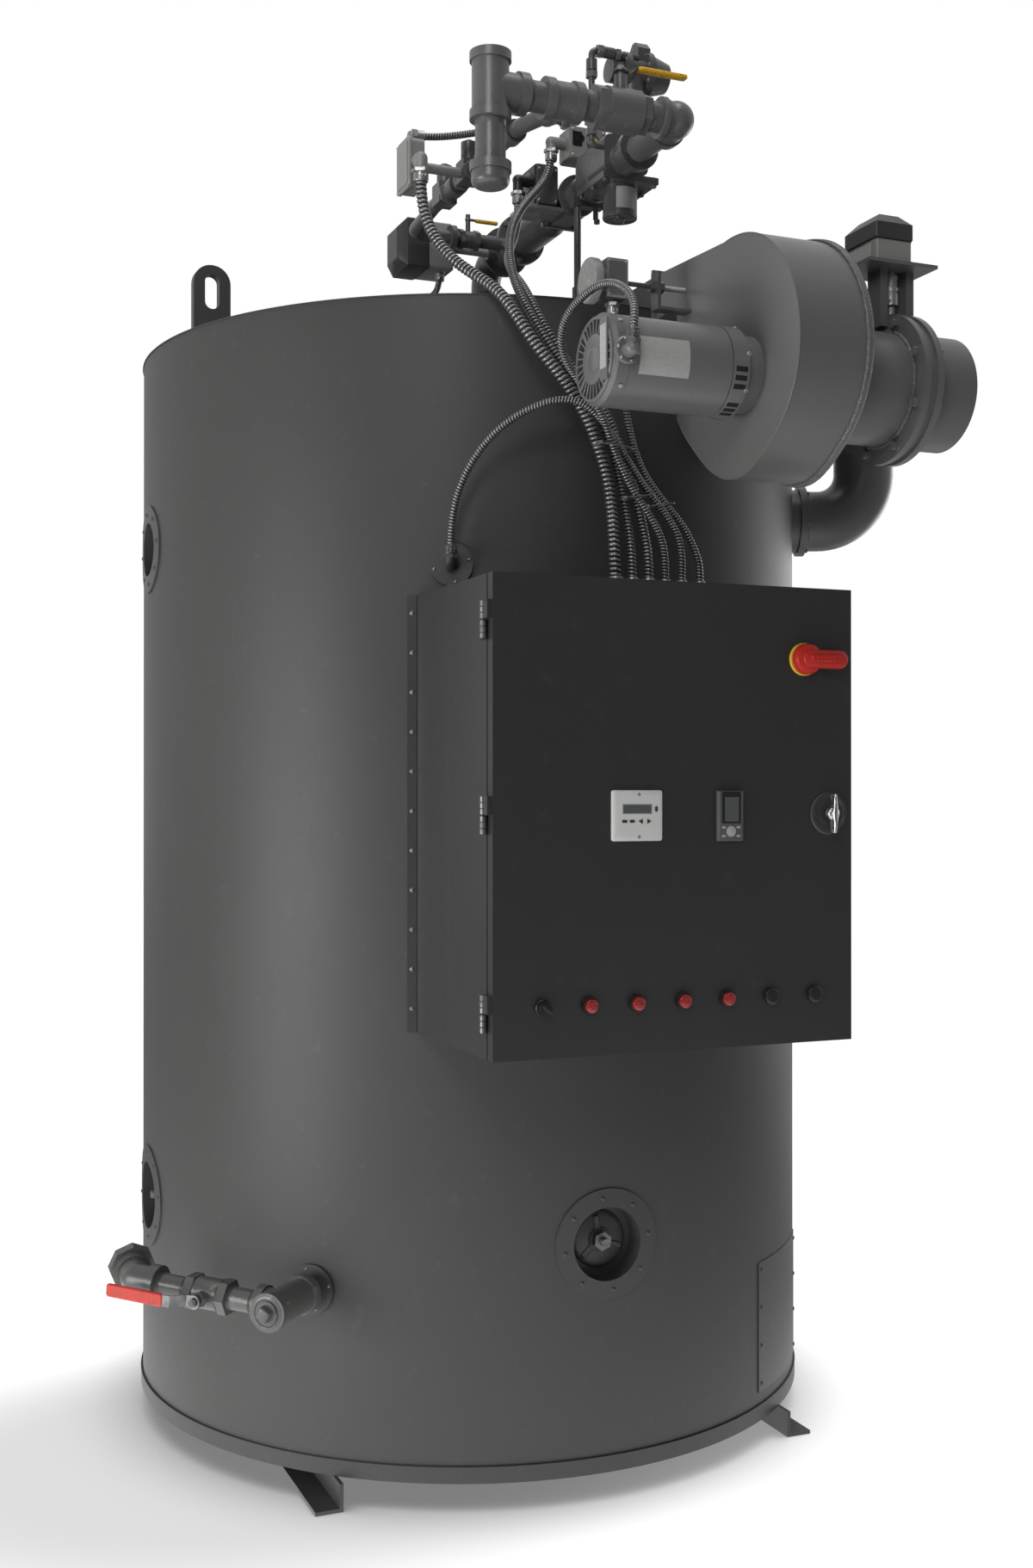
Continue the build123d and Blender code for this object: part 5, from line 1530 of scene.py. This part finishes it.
    def ties(self) -> None:
        """Cable ties round the bundle of conduits, each with its square head."""
        shell = Shell()
        bundles = (
            ((-0.079, 0.0035), (-0.957, -0.893), 2.209, -0.10),
            ((-0.0265, 0.0475), (-0.963, -0.912), 2.108, 0.16),
            ((0.025, 0.094), (-0.961, -0.918), 2.094, 0.18))
        for (left, right), (near, far), height, tilt in bundles:
            width, depth = right - left, far - near
            flat = rounded(width - 0.003, depth - 0.003, (min(width, depth) - 0.003) * 0.42, 9)(0.0)
            path = np.column_stack([flat[:, 0] + (left + right) / 2, flat[:, 1] + (near + far) / 2,
                                    height + flat[:, 0] * tilt])
            shell.tube(path, 0.0017, 8, True)
            head = Seat((left + 0.002, near + 0.006, height - width / 2 * tilt), (-0.6, -0.8, 0), UPRIGHT)
            shell.slab(head, rounded(0.0085, 0.0065, 0.0012, 3), -0.001, 0.0065, 0.001)
        shell.build("cable_ties", TIE, "conduit_metal")

    def build(self) -> None:
        """Make every piece of the blower's details."""
        self.motor_end()
        self.motor_body()
        self.housing()
        self.scroll()
        self.flanges()
        self.actuators()
        self.switch()
        self.ties()


# Gas train


@dataclass
class GasTrain:
    """Valve hardware, levers, boxes and conduit connectors above the top plate."""

    pipe_x: float = 0.078
    pipe_y: float = -0.980
    pipe_z: float = 2.882
    regulator: tuple[float, float] = (-0.715, 3.086)
    connectors: tuple[tuple[Vec3, Vec3, float], ...] = (
        ((-0.363, -0.655, 2.812), (0.0, 0.0, -1.0), 0.0125),
        ((-0.005, -0.532, 2.949), (0.0, 0.0, -1.0), 0.0095),
        ((-0.061, -0.470, 2.864), (0.0, 0.0, -1.0), 0.0095),
        ((-0.345, -0.596, 2.923), (1.0, 0.0, 0.0), 0.008),
        ((0.028, -0.532, 3.034), (-1.0, 0.0, 0.0), 0.008),
        ((-0.104, -0.060, 2.794), (0.0, 0.0, -1.0), 0.008),
        ((-0.350, -0.125, 2.5686), (0.0, 0.0, 1.0), 0.008),
        ((-0.057, -0.960, 2.480), (0.0, 0.0, -1.0), 0.008),
        ((-0.3433, -0.7859, 2.000), (0.0, 0.0, 1.0), 0.008),
        ((-0.180, -1.3003, 2.337), (0.0, 0.0, 1.0), 0.008))

    def connector_set(self) -> None:
        """Nut, sleeve, clamp lugs and screw at each upper end of a conduit; the last two are dark."""
        plated, dark = Shell(), Shell()
        for index, (point, out, radius) in enumerate(self.connectors):
            shell = plated if index < len(self.connectors) - 2 else dark
            up = (0.0, 1.0, 0.0) if abs(out[2]) > 0.5 else (0.0, 0.0, 1.0)
            seat = Seat(point, out, up)
            shell.prism(
                seat, hexagon(2 * radius + 0.0105, 0.4),
                ((-0.017, 0.0008), (-0.0162, 0.0), (-0.0095, 0.0), (-0.0087, 0.0008)))
            shell.lathe(
                seat,
                ((radius + 0.0028, -0.009), (radius + 0.0042, -0.007), (radius + 0.0042, 0.0085),
                 (radius + 0.0028, 0.0105), (radius - 0.0006, 0.0105), (radius - 0.0006, -0.009)), 28, True)
            side = Seat(seat.moved(0.0, -radius - 0.0035, 0.001).point, tuple(-seat.axes()[1]), out)
            shell.slab(side, rounded(0.0125, 0.014, 0.0015, 3), -0.0006, 0.0045, 0.0008)
            for sign in (-1, 1):
                screw(shell, side.moved(sign * 0.0035, 0.0, 0.0043), 0.0028, 0.0026)
        plated.build("conduit_connectors", ZINC, "bare_steel")
        dark.build("dark_connectors", VALVE_PAINT, "bare_steel")

    def lever(self, stem: Vec3, length: float, width: float, rise: float, body: Body, node: str) -> None:
        """Steel strap with a crank, a nut on the stem and a dipped grip, pointing along +X.

        Args:
            stem: Foot of the lever on its stem.
            length: Reach from the stem to the grip's end.
            width: Width of the strap.
            rise: Height of the crank.
            body: Body that carries the lever.
            node: CAD node that it replaces.
        """
        x, y, z = stem
        thick = 0.005 if length > 0.1 else 0.004
        steps = np.array([0.0, 0.13, 0.22, 0.5]) * length
        heights = np.array([0.0, 0.0, rise, rise])
        half = np.array([0.5, 0.42, 0.36, 0.36]) * width
        rows = []
        for step, height, side in zip(steps, heights, half):
            rows.append([(x + step, y - side, z + height), (x + step, y + side, z + height),
                         (x + step, y + side, z + height + thick), (x + step, y - side, z + height + thick)])
        strap = Shell()
        strap.loft(np.array(rows))
        hub = facing(Way.UP, stem)
        strap.lathe(
            hub,
            ((0.0062, 0.0002), (width * 0.72, 0.0002), (width * 0.75, 0.001), (width * 0.75, thick - 0.0006),
             (width * 0.72, thick), (0.0062, thick)), 28, True)
        strap.build(node + "_strap", DULL_STEEL, "yellow_grip", body)
        start, end = length * 0.25, length
        along = np.linspace(0, 1, 22)
        ends = np.clip(np.sqrt(np.clip(1 - np.clip((along - 0.94) / 0.06, 0, 1) ** 2, 0, 1)), 0.15, 1)
        ends *= np.clip(0.72 + along * 9, 0, 1)
        angles = whole_turn(24)
        flat = blunt(np.cos(angles), 0.6)
        tall = blunt(np.sin(angles), 0.75)
        middle = z + rise + thick * 0.35
        rings = np.stack([np.repeat((x + start + (end - start) * along)[:, None], len(angles), axis=1),
                          y + width * 0.6 * ends[:, None] * flat[None, :],
                          middle + thick * 1.05 * ends[:, None] * tall[None, :]], -1)
        grip = Shell()
        grip.loft(rings)
        piece = grip.build(node + "_grip", YELLOW_GRIP, "yellow_grip", body, 50.0)
        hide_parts(node)

    def levers(self) -> None:
        """The gas cock's and the pilot cock's levers, and the nut on the gas cock's stem."""
        self.lever((-0.048, self.pipe_y, 2.962), 0.153, 0.017, 0.009, Body.GAS_LEVER, "gas_cock_lever")
        self.lever((-0.062, -0.150, 2.914), 0.080, 0.010, 0.0, Body.PILOT_LEVER, "pilot_cock_lever")
        nuts = Shell()
        bolt(nuts, facing(Way.UP, (-0.048, self.pipe_y, 2.9675)), 0.013, 0.006)
        nuts.build("cock_nut", ZINC, "bare_steel")

    def valve_hardware(self) -> None:
        """Bolts and screws of the valves and the regulator, a blank label and a ribbed cap."""
        shell = Shell()
        for x, y in (
                (0.034, -0.736), (0.152, -0.736), (0.034, -0.614), (0.152, -0.614), (0.034, -0.675),
                (0.152, -0.675)):
            bolt(shell, facing(Way.DOWN, (x, y, 2.838)), 0.011, 0.006)
            screw(shell, facing(Way.UP, (x, y, 2.852)), 0.005, 0.004)
        rim = facing(Way.LEFT, (0.132, *self.regulator))
        for place in ring_of(rim, 0.0425, 8, 0.2):
            screw(shell, place, 0.0042, 0.0035)
        rim = facing(Way.LEFT, (0.082, *self.regulator))
        for place in ring_of(rim, 0.0355, 6, 0.5):
            screw(shell, place, 0.0042, 0.0035)
        for y, way in ((-0.160, -1.0), (-0.040, 1.0)):
            for place in ring_of(Seat((self.pipe_x, y, self.pipe_z), (0, way, 0), UPRIGHT), 0.0535, 6, 0.4):
                bolt(shell, place, 0.0115, 0.007)
        for place in corners(facing(Way.FRONT, (0.078, -0.4, 2.882)), 0.037, 0.037):
            bolt(shell, place, 0.011, 0.006)
        bolt(shell, facing(Way.DOWN, (0.104, -0.545, 2.8145)), 0.013, 0.009)
        shell.build("valve_bolts", BLOWER_PAINT, "pipe_paint")
        label = Shell()
        angles = np.radians(np.linspace(-128, -58, 14))
        rows = []
        for z in (2.784, 2.831):
            outer, inner = (np.stack([0.092 + radius * np.cos(angles), -0.690 + radius * np.sin(angles),
                                      np.full_like(angles, z)], 1) for radius in (0.0386, 0.0378))
            rows.append(np.concatenate([outer, inner[::-1]]))
        label.loft(np.array(rows))
        label.build("damper_label", LABEL, "white_plastic")
        cap = Shell()
        foot = facing(Way.DOWN, (0.092, -0.690, 2.770))
        cap.lathe(
            foot,
            ((0.0382, -0.008), (0.0388, -0.004), (0.0375, 0.0012), (0.034, 0.0022), (0.030, 0.001),
             (0.012, 0.0012), (0.010, 0.0034), (0.0, 0.0038)), 44)
        for step in range(4):
            a = math.pi / 4 + step * math.pi / 2
            cap.slab(foot.around(0.021, a), rounded(0.020, 0.004, 0.001, 2), 0.0005, 0.0028, 0.0006)
        cap.build("damper_cap", SMALL_PAINT, "pipe_paint")

    def bands(self) -> None:
        """Threads beside the fittings, hexagons on the small pipes and nuts on the valves."""
        shell = Shell()
        x, y, z = self.pipe_x, self.pipe_y, self.pipe_z
        runs = (((-0.258, y, z), (1, 0, 0)), ((-0.140, y, z), (1, 0, 0)), ((0.010, y, z), (1, 0, 0)),
                ((x, -0.926, z), (0, 1, 0)), ((x, -0.585, z), (0, 1, 0)))
        for point, out in runs:
            threads(shell, Seat(point, out, UPRIGHT), 0.03, 0.0009, 0.001, 5, 44)
        threads(shell, facing(Way.DOWN, (-0.332, y, 2.820)), 0.03, 0.0009, 0.001, 5, 44)
        for point, out, across, height in (
                ((0.0, -0.739, 2.925), (0, 0, 1), 0.022, 0.016),
                ((0.0, -0.739, 3.050), (0, 0, 1), 0.023, 0.014),
                ((0.012, -0.739, 3.111), (1, 0, 0), 0.025, 0.014),
                ((0.056, -0.739, 3.111), (1, 0, 0), 0.022, 0.012),
                ((-0.205, -0.560, z), (0, 1, 0), 0.044, 0.010),
                ((-0.205, -0.404, z), (0, 1, 0), 0.044, 0.010),
                ((-0.205, -0.5, z), (0, 1, 0), 0.044, 0.010),
                ((0.055, -0.545, 2.60), (0, 0, 1), 0.026, 0.012)):
            shell.prism(Seat(point, out, (0, 1, 0) if out[2] else (0, 0, 1)), hexagon(across, 0.3),
                        ((0.0, 0.001), (0.0008, 0.0), (height - 0.0008, 0.0), (height, 0.001)))
        for yy in (-0.530, -0.372):
            top = facing(Way.UP, (-0.205, yy, self.pipe_z + 0.070))
            shell.prism(top, hexagon(0.014, 0.2), ((-0.001, 0.0), (0.005, 0.0), (0.006, 0.001)))
        shell.build("pipe_threads", PIPE_PAINT, "pipe_paint")

    def boxes(self) -> None:
        """Indicator with its window, junction cover, valve actuator's cover and shelf."""
        front = facing(Way.FRONT, (0.074, -0.560, 2.9795))
        plate, dark, screws = Shell(), Shell(), Shell()
        plate.slab(front, rounded(0.088, 0.069, 0.004), -0.0008, 0.0022, 0.0008)
        dark.slab(front.moved(-0.027, 0.008, 0.002), rounded(0.024, 0.034, 0.003), 0.0, 0.0012, 0.0004)
        window = facing(Way.FRONT, (0.087, -0.566, 2.985))
        dark.lathe(window, ((0.0165, -0.004), (0.0168, 0.0008), (0.0155, 0.0016), (0.0, 0.0016)), 36)
        dark.lathe(
            facing(Way.FRONT, (0.055, -0.5622, 2.990)), ((0.009, 0), (0.009, 0.002), (0.0, 0.0026)), 24)
        plate.lathe(window, ((0.0165, 0.0008), (0.0165, 0.0026), (0.0138, 0.003), (0.0132, 0.0012)), 36, True)
        plate.build("indicator_plate", ALUMINIUM, "box_metal")
        dark.build("indicator_glass", SCREEN, "box_metal")
        dial = Shell()
        dial.prism(window, disc(0.0082, 6), ((0.0012, 0.0), (0.0024, 0.0), (0.003, 0.001)))
        for place in ring_of(window, 0.0078, 6, 0.52):
            dial.lathe(place, ((0.0026, 0.0012), (0.0026, 0.0022), (0.0018, 0.0027)), 12)
        dial.build("indicator_dial", YELLOW_PLASTIC, "yellow_plastic")
        spots = Shell()
        for place in ring_of(window, 0.0048, 5, 0.2):
            spots.lathe(place, ((0.0013, 0.0028), (0.0013, 0.0033), (0.0008, 0.0035)), 10)
        spots.build("indicator_spots", BLACK, "black_plastic")
        for place in corners(front, 0.038, 0.029, 0.002):
            screw(screws, place, 0.0034, 0.0028)
        cover = Shell()
        face = facing(Way.LEFT, (-0.382, -0.596, 2.853))
        cover.slab(face, rounded(0.084, 0.112, 0.014), -0.006, 0.0012, 0.0015)
        cover.slab(face.moved(0, 0, 0.001), rounded(0.066, 0.094, 0.010), -0.0004, 0.0022, 0.0010)
        cover.build("junction_cover", ALUMINIUM, "box_metal")
        for place in corners(face, 0.036, 0.05, 0.001):
            screw(screws, place, 0.0032, 0.0026)
        shelf = Shell()
        shelf.slab(
            facing(Way.UP, (0.001, -0.4445, 2.844)), rounded(0.108, 0.091, 0.003), -0.0006, 0.0088, 0.001)
        shelf.build("actuator_shelf", GALVANISED, "bare_steel")
        case = Shell()
        body = facing(Way.FRONT, (0.004, -0.490, 2.899))
        case.slab(body, rounded(0.052, 0.086, 0.008), -0.001, 0.002, 0.001)
        case.lathe(facing(Way.LEFT, (-0.026, -0.447, 2.905)),
                   ((0.03, -0.002), (0.031, 0.003), (0.027, 0.007), (0.0, 0.009)), 32)
        case.slab(facing(Way.UP, (0.004, -0.4475, 2.945)), rounded(0.055, 0.079, 0.008), -0.001, 0.003, 0.001)
        case.build("valve_actuator_case", SMALL_PAINT, "pipe_paint")
        for place in ring_of(facing(Way.LEFT, (-0.033, -0.447, 2.905)), 0.021, 5, 0.3):
            screw(screws, place, 0.0032, 0.0026)
        for place in corners(body, 0.021, 0.036, 0.002):
            screw(screws, place, 0.0032, 0.0026)
        screws.build("box_screws", ZINC, "bare_steel")

    def build(self) -> None:
        """Make every piece of the gas train's details."""
        self.connector_set()
        self.levers()
        self.valve_hardware()
        self.bands()
        self.boxes()


# Blowdown line


@dataclass
class BlowdownLine:
    """Plug, gland and lever of the blowdown line at the lower left."""

    angle: float = -135.0
    height: float = 0.447
    reach: float = 0.9595
    run: Vec3 = (-0.7071, 0.7071, 0.055)
    stem: float = 0.162
    turn: float = 15.0

    def ways(self) -> tuple[np.ndarray, np.ndarray, np.ndarray]:
        """Unit vectors along the run, out of the jacket and out of the last elbow."""
        run = np.array(self.run) / np.linalg.norm(self.run)
        a = math.radians(self.angle)
        outward = np.array([math.cos(a), math.sin(a), 0.0])
        upward = np.cross(run, outward)
        t = math.radians(self.turn)
        outlet = run - outward * math.cos(t) + upward * math.sin(t)
        return run, outward, outlet / np.linalg.norm(outlet)

    def at(self, along: float, out: float = 0.0, past: float = 0.0) -> Vec3:
        """Point along the run, out from the jacket and past the last elbow."""
        run, outward, outlet = self.ways()
        corner = outward * self.reach + np.array([0.0, 0.0, self.height])
        return tuple(corner + run * along + outward * out + outlet * past)

    def fittings(self) -> None:
        """Square-headed plug in the tee, threads, the valve's gland and beads on the fittings."""
        run, outward, _ = self.ways()
        shell = Shell()
        end = Seat(self.at(0.0, 0.046), tuple(outward), UPRIGHT)
        shell.lathe(end, ((0.034, -0.001), (0.0338, 0.0006), (0.029, 0.0016), (0.0265, -0.0005)), 44)
        shell.lathe(end, ((0.0245, -0.001), (0.0245, 0.003), (0.0235, 0.0042), (0.0, 0.0045)), 40)
        shell.prism(Seat(end.point, end.out, (0.35, -0.35, 0.87)), rounded(0.0265, 0.0265, 0.003),
                    ((0.003, 0.0), (0.0185, 0.0008), (0.0205, 0.0024), (0.0212, 0.005)))
        for along, out, radius in ((0.0, -0.104, 0.0242), (0.0, -0.118, 0.0242)):
            shell.lathe(Seat(self.at(along, out), tuple(outward), UPRIGHT),
                        ((radius - 0.001, -0.003), (radius + 0.001, 0.0), (radius - 0.001, 0.003)), 32)
        way = Seat(self.at(0.0), tuple(run), UPRIGHT)
        for start, count in ((0.047, 6), (0.103, 4), (0.213, 5), (0.276, 4)):
            threads(shell, way, 0.0236, 0.0013, start, count, 40)
        for low, radius in ((0.132, 0.0335), (0.190, 0.0335)):
            shell.lathe(
                way, ((radius - 0.002, low), (radius + 0.001, low + 0.001), (radius - 0.002, low + 0.004)),
                44)
        gland = Seat(self.at(self.stem, 0.030), tuple(outward), UPRIGHT)
        shell.prism(
            gland, hexagon(0.030, 0.2), ((0.012, 0.001), (0.013, 0.0), (0.0215, 0.0), (0.0225, 0.0015)))
        shell.build("blowdown_fittings", SMALL_PAINT, "pipe_paint")
        nut = Shell()
        nut_seat = Seat(self.at(self.stem, 0.0675), tuple(outward), UPRIGHT)
        nut.prism(
            nut_seat, hexagon(0.0175, 0.5), ((0.0, 0.0008), (0.0006, 0.0), (0.0058, 0.0), (0.0066, 0.0012)))
        nut.build("blowdown_nut", DULL_STEEL, "bare_steel")

    def lever(self) -> None:
        """Flat cranked strap in a red sleeve that lies along the run."""
        run, outward, _ = self.ways()
        seat = Seat(self.at(self.stem), tuple(outward), tuple(np.cross(outward, run)))
        steps = (
            (0.0, 0.060, 0.0130), (0.018, 0.060, 0.0115), (0.030, 0.0705, 0.0110), (0.043, 0.085, 0.0118),
            (0.056, 0.0862, 0.012), (0.115, 0.0862, 0.012))
        rows = []
        for along, height, half in steps:
            rows.append(
                seat.put(
                    np.array(
                        [(along, -half, height), (along, half, height), (along, half, height + 0.0038),
                         (along, -half, height + 0.0038)])))
        strap = Shell()
        strap.loft(np.array(rows))
        hub = seat.moved(0.0, 0.0, 0.060)
        strap.lathe(hub, ((0.0064, 0.0), (0.0148, 0.0), (0.015, 0.0006), (0.015, 0.0064), (0.0146, 0.007),
                          (0.0064, 0.007)), 32, True)
        strap.build("blowdown_strap", DULL_STEEL, "bare_steel", Body.BLOWDOWN)
        sleeve = Shell()
        sleeve.slab(seat.moved(0.1275, 0.0, 0.088), rounded(0.137, 0.027, 0.006), -0.0045, 0.0045, 0.0022)
        piece = sleeve.build("blowdown_sleeve", RED_GRIP, "red_grip", Body.BLOWDOWN)
        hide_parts("blowdown_lever")

    def build(self) -> None:
        """Make every piece of the blowdown line's details."""
        self.fittings()
        self.lever()


# Camera and light


@dataclass
class Studio:
    """Camera, white floor, white surroundings and soft lamps."""

    eye: Vec3 = (-1.5695, -4.0935, 1.5037)
    yaw: float = 0.3936
    pitch: float = 0.0037
    lens: float = 39.19
    film: float = 36.0
    floor_size: float = 40.0
    bounce: float = 1.1
    glow_sides: float = 0.16
    glow_front: float = 0.05
    gloss_sides: float = 0.7
    gloss_front: float = 0.12
    lamps: tuple[tuple[str, Vec3, Vec3, float, float], ...] = (
        ("key_lamp", (-5.2, -1.4, 1.1), (0.0, 0.0, 0.5), 2.4, 150.0),
        ("front_lamp", (-3.0, -5.2, 4.6), (0.2, -0.9, 2.7), 2.0, 80.0),
        ("top_lamp", (-0.3, -1.6, 6.0), (0.0, -0.6, 2.8), 2.4, 60.0),
        ("rim_lamp", (4.8, 1.6, 2.0), (0.0, 0.0, 1.3), 3.0, 70.0),
    )

    def camera(self) -> None:
        """Set the camera at the photograph's place, looking almost level."""
        data = bpy.data.cameras.new("camera")
        data.sensor_fit = "VERTICAL"
        data.sensor_height = self.film
        data.lens = self.lens
        data.clip_end = 200.0
        camera = bpy.data.objects.new("camera", data)
        camera.location = self.eye
        camera.rotation_euler = (math.pi / 2 + self.pitch, 0.0, -self.yaw)
        bpy.context.scene.collection.objects.link(camera)
        bpy.context.scene.camera = camera

    def floor(self) -> None:
        """White floor: a pale light for the object, and for the camera white with a soft grey shadow.

        The shadow is the closeness of the object times a smooth step of the distance from the
        foot, along an ellipse that reaches to the left.
        """
        half = self.floor_size / 2
        mesh = bpy.data.meshes.new("floor")
        corners = [(-half, -half, 0.0), (half, -half, 0.0), (half, half, 0.0), (-half, half, 0.0)]
        mesh.from_pydata(corners, [], [(0, 1, 2, 3)])
        floor = bpy.data.objects.new("floor", mesh)
        bpy.context.scene.collection.objects.link(floor)
        graph = Graph("floor_white")
        graph.put("Base Color", (0.8, 0.8, 0.8))
        graph.put("Roughness", 0.9)
        apart = graph.node("ShaderNodeSeparateXYZ", None, {0: graph.place()})
        side, front = apart, Sock(graph, apart.socket.node.outputs[1])
        bright = ((side + 0.9) ** 2.0 + (front + 0.9) ** 2.0).ramp(8.0, 0.6)
        shade = ((side + 0.55) ** 2.0 * 0.8 + (front + 0.25) ** 2.0 * 1.6).ramp(0.3, 1.2)
        nearby = graph.node("ShaderNodeAmbientOcclusion", {"samples": 12}, {"Distance": 0.3}, "AO")
        close = nearby.ramp(0.2, 0.95)
        seen = graph.node("ShaderNodeLightPath", output="Is Camera Ray")
        shown = (shade * 0.35 + 0.7) * (close * 0.75 + 0.3)
        graph.put("Emission Color", (1.0, 1.0, 1.0))
        graph.put("Emission Strength", seen * shown + (1.0 - seen) * (bright * self.bounce + 0.05))
        plain = Sock(graph, graph.shader.outputs[0])
        lifted = graph.node("ShaderNodeEmission", None, {"Strength": shown})
        view = graph.node("ShaderNodeMixShader", None, {0: seen, 1: plain, 2: lifted})
        graph.tree.links.new(view.socket, graph.output.inputs["Surface"])
        mesh.materials.append(graph.material)

    def surroundings(self) -> None:
        """World that is white to the camera; as a light and in reflections it is dimmer in front."""
        world = bpy.data.worlds.new("surroundings")
        world.use_nodes = True
        bpy.context.scene.world = world
        tree = world.node_tree
        tree.nodes.clear()

        def add(kind: str, *sources: bpy.types.NodeSocket) -> bpy.types.Node:
            """Add a node and link its first inputs to those outputs."""
            node = tree.nodes.new(kind)
            for target, source in zip(node.inputs, sources):
                tree.links.new(source, target)
            return node

        path = add("ShaderNodeLightPath")
        straight = add("ShaderNodeMath", path.outputs["Is Camera Ray"], path.outputs["Is Transmission Ray"])
        straight.operation = "MAXIMUM"
        toward = add("ShaderNodeVectorMath", add("ShaderNodeTexCoord").outputs["Generated"])
        toward.operation = "DOT_PRODUCT"
        toward.inputs[1].default_value = (-math.sin(self.yaw), -math.cos(self.yaw), 0.0)
        strengths = []
        for sides, front in ((self.glow_sides, self.glow_front), (self.gloss_sides, self.gloss_front)):
            fall = add("ShaderNodeMapRange", toward.outputs["Value"])
            fall.interpolation_type = "SMOOTHSTEP"
            for index, value in enumerate((-0.25, 0.75, sides, front), 1):
                fall.inputs[index].default_value = value
            strengths.append(fall.outputs[0])
        shares = []
        for share, strength in ((None, strengths[0]), (path.outputs["Is Glossy Ray"], strengths[1]),
                                (straight.outputs[0], None)):
            light = add("ShaderNodeBackground")
            light.inputs["Strength"].default_value = 1.0
            if strength is not None:
                tree.links.new(strength, light.inputs["Strength"])
            light.inputs["Color"].default_value = (1.0, 1.0, 1.0, 1.0)
            shares.append((share, light.outputs[0]))
        result = shares[0][1]
        for share, light in shares[1:]:
            result = add("ShaderNodeMixShader", share, result, light).outputs[0]
        add("ShaderNodeOutputWorld", result)

    def light(self) -> None:
        """Square soft lamps, each aimed at a point of the object."""
        for name, place, aim, size, power in self.lamps:
            data = bpy.data.lights.new(name, "AREA")
            data.energy = power
            data.size = size
            lamp = bpy.data.objects.new(name, data)
            away = np.array(place) - np.array(aim)
            lamp.location = place
            lamp.rotation_euler = (math.atan2(math.hypot(away[0], away[1]), away[2]), 0.0,
                                   math.atan2(away[0], -away[1]))
            bpy.context.scene.collection.objects.link(lamp)

    def build(self) -> None:
        """Set up everything that isn't part of the object."""
        bpy.context.scene.view_settings.view_transform = "Standard"
        self.camera()
        self.floor()
        self.surroundings()
        self.light()


def dress_frame() -> None:
    """Give every CAD node that stays visible its finish."""
    finishes = {
        JACKET: ("jacket", "top_plate", "bottom_plate", "base_rails"),
        SHELL_DARK: (
            "lifting_lugs", "lined_ports", "access_panel", "pipe_rosettes", "flue_outlet", "steam_outlet",
            "pressure_vessel", "windbox", "handhole_covers"),
        BLOWER_PAINT: (
            "scroll_housing", "inlet_duct", "damper_body", "air_inlet", "recirculation_pipe",
            "actuator_stand"),
        MOTOR_PAINT: ("blower_motor",),
        PIPE_PAINT: ("gas_piping", "gas_cock"),
        VALVE_PAINT: ("shutoff_valve", "gas_regulator", "pipe_support"),
        SMALL_PAINT: (
            "second_valve", "burner_feed", "pilot_line", "air_switch", "blowdown_piping", "blowdown_valve"),
        PANEL_PAINT: ("panel_box", "panel_door", "door_hinges", "latch_plate"),
        GALVANISED: ("mounting_plate",),
        ZINC: ("conduit_fittings",),
        CHROME: ("latch_handle",),
        BLACK: ("panel_controls", "selector_knob", "valve_actuator", "actuators"),
        YELLOW_PLASTIC: ("disconnect_ring",),
        RED_PLASTIC: ("disconnect_handle",),
        RED_LENS: ("pilot_lights",),
        IVORY: ("panel_display",),
        ALUMINIUM: ("indicator_box", "junction_box"),
        YELLOW_GRIP: ("gas_cock_lever", "pilot_cock_lever"),
        RED_GRIP: ("blowdown_lever",),}
    for finish, nodes in finishes.items():
        for node in nodes:
            paint_node(node, finish)


def main() -> None:
    """Build the looks around the frame, piece by piece."""
    logging.basicConfig(level=logging.INFO, format="%(name)s: %(message)s")
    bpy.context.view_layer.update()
    Studio().build()
    Conduits().build()
    dress_frame()
    BoilerShell().build()
    ControlPanel().build()
    Blower().build()
    GasTrain().build()
    BlowdownLine().build()


if __name__ == "__main__":
    main()
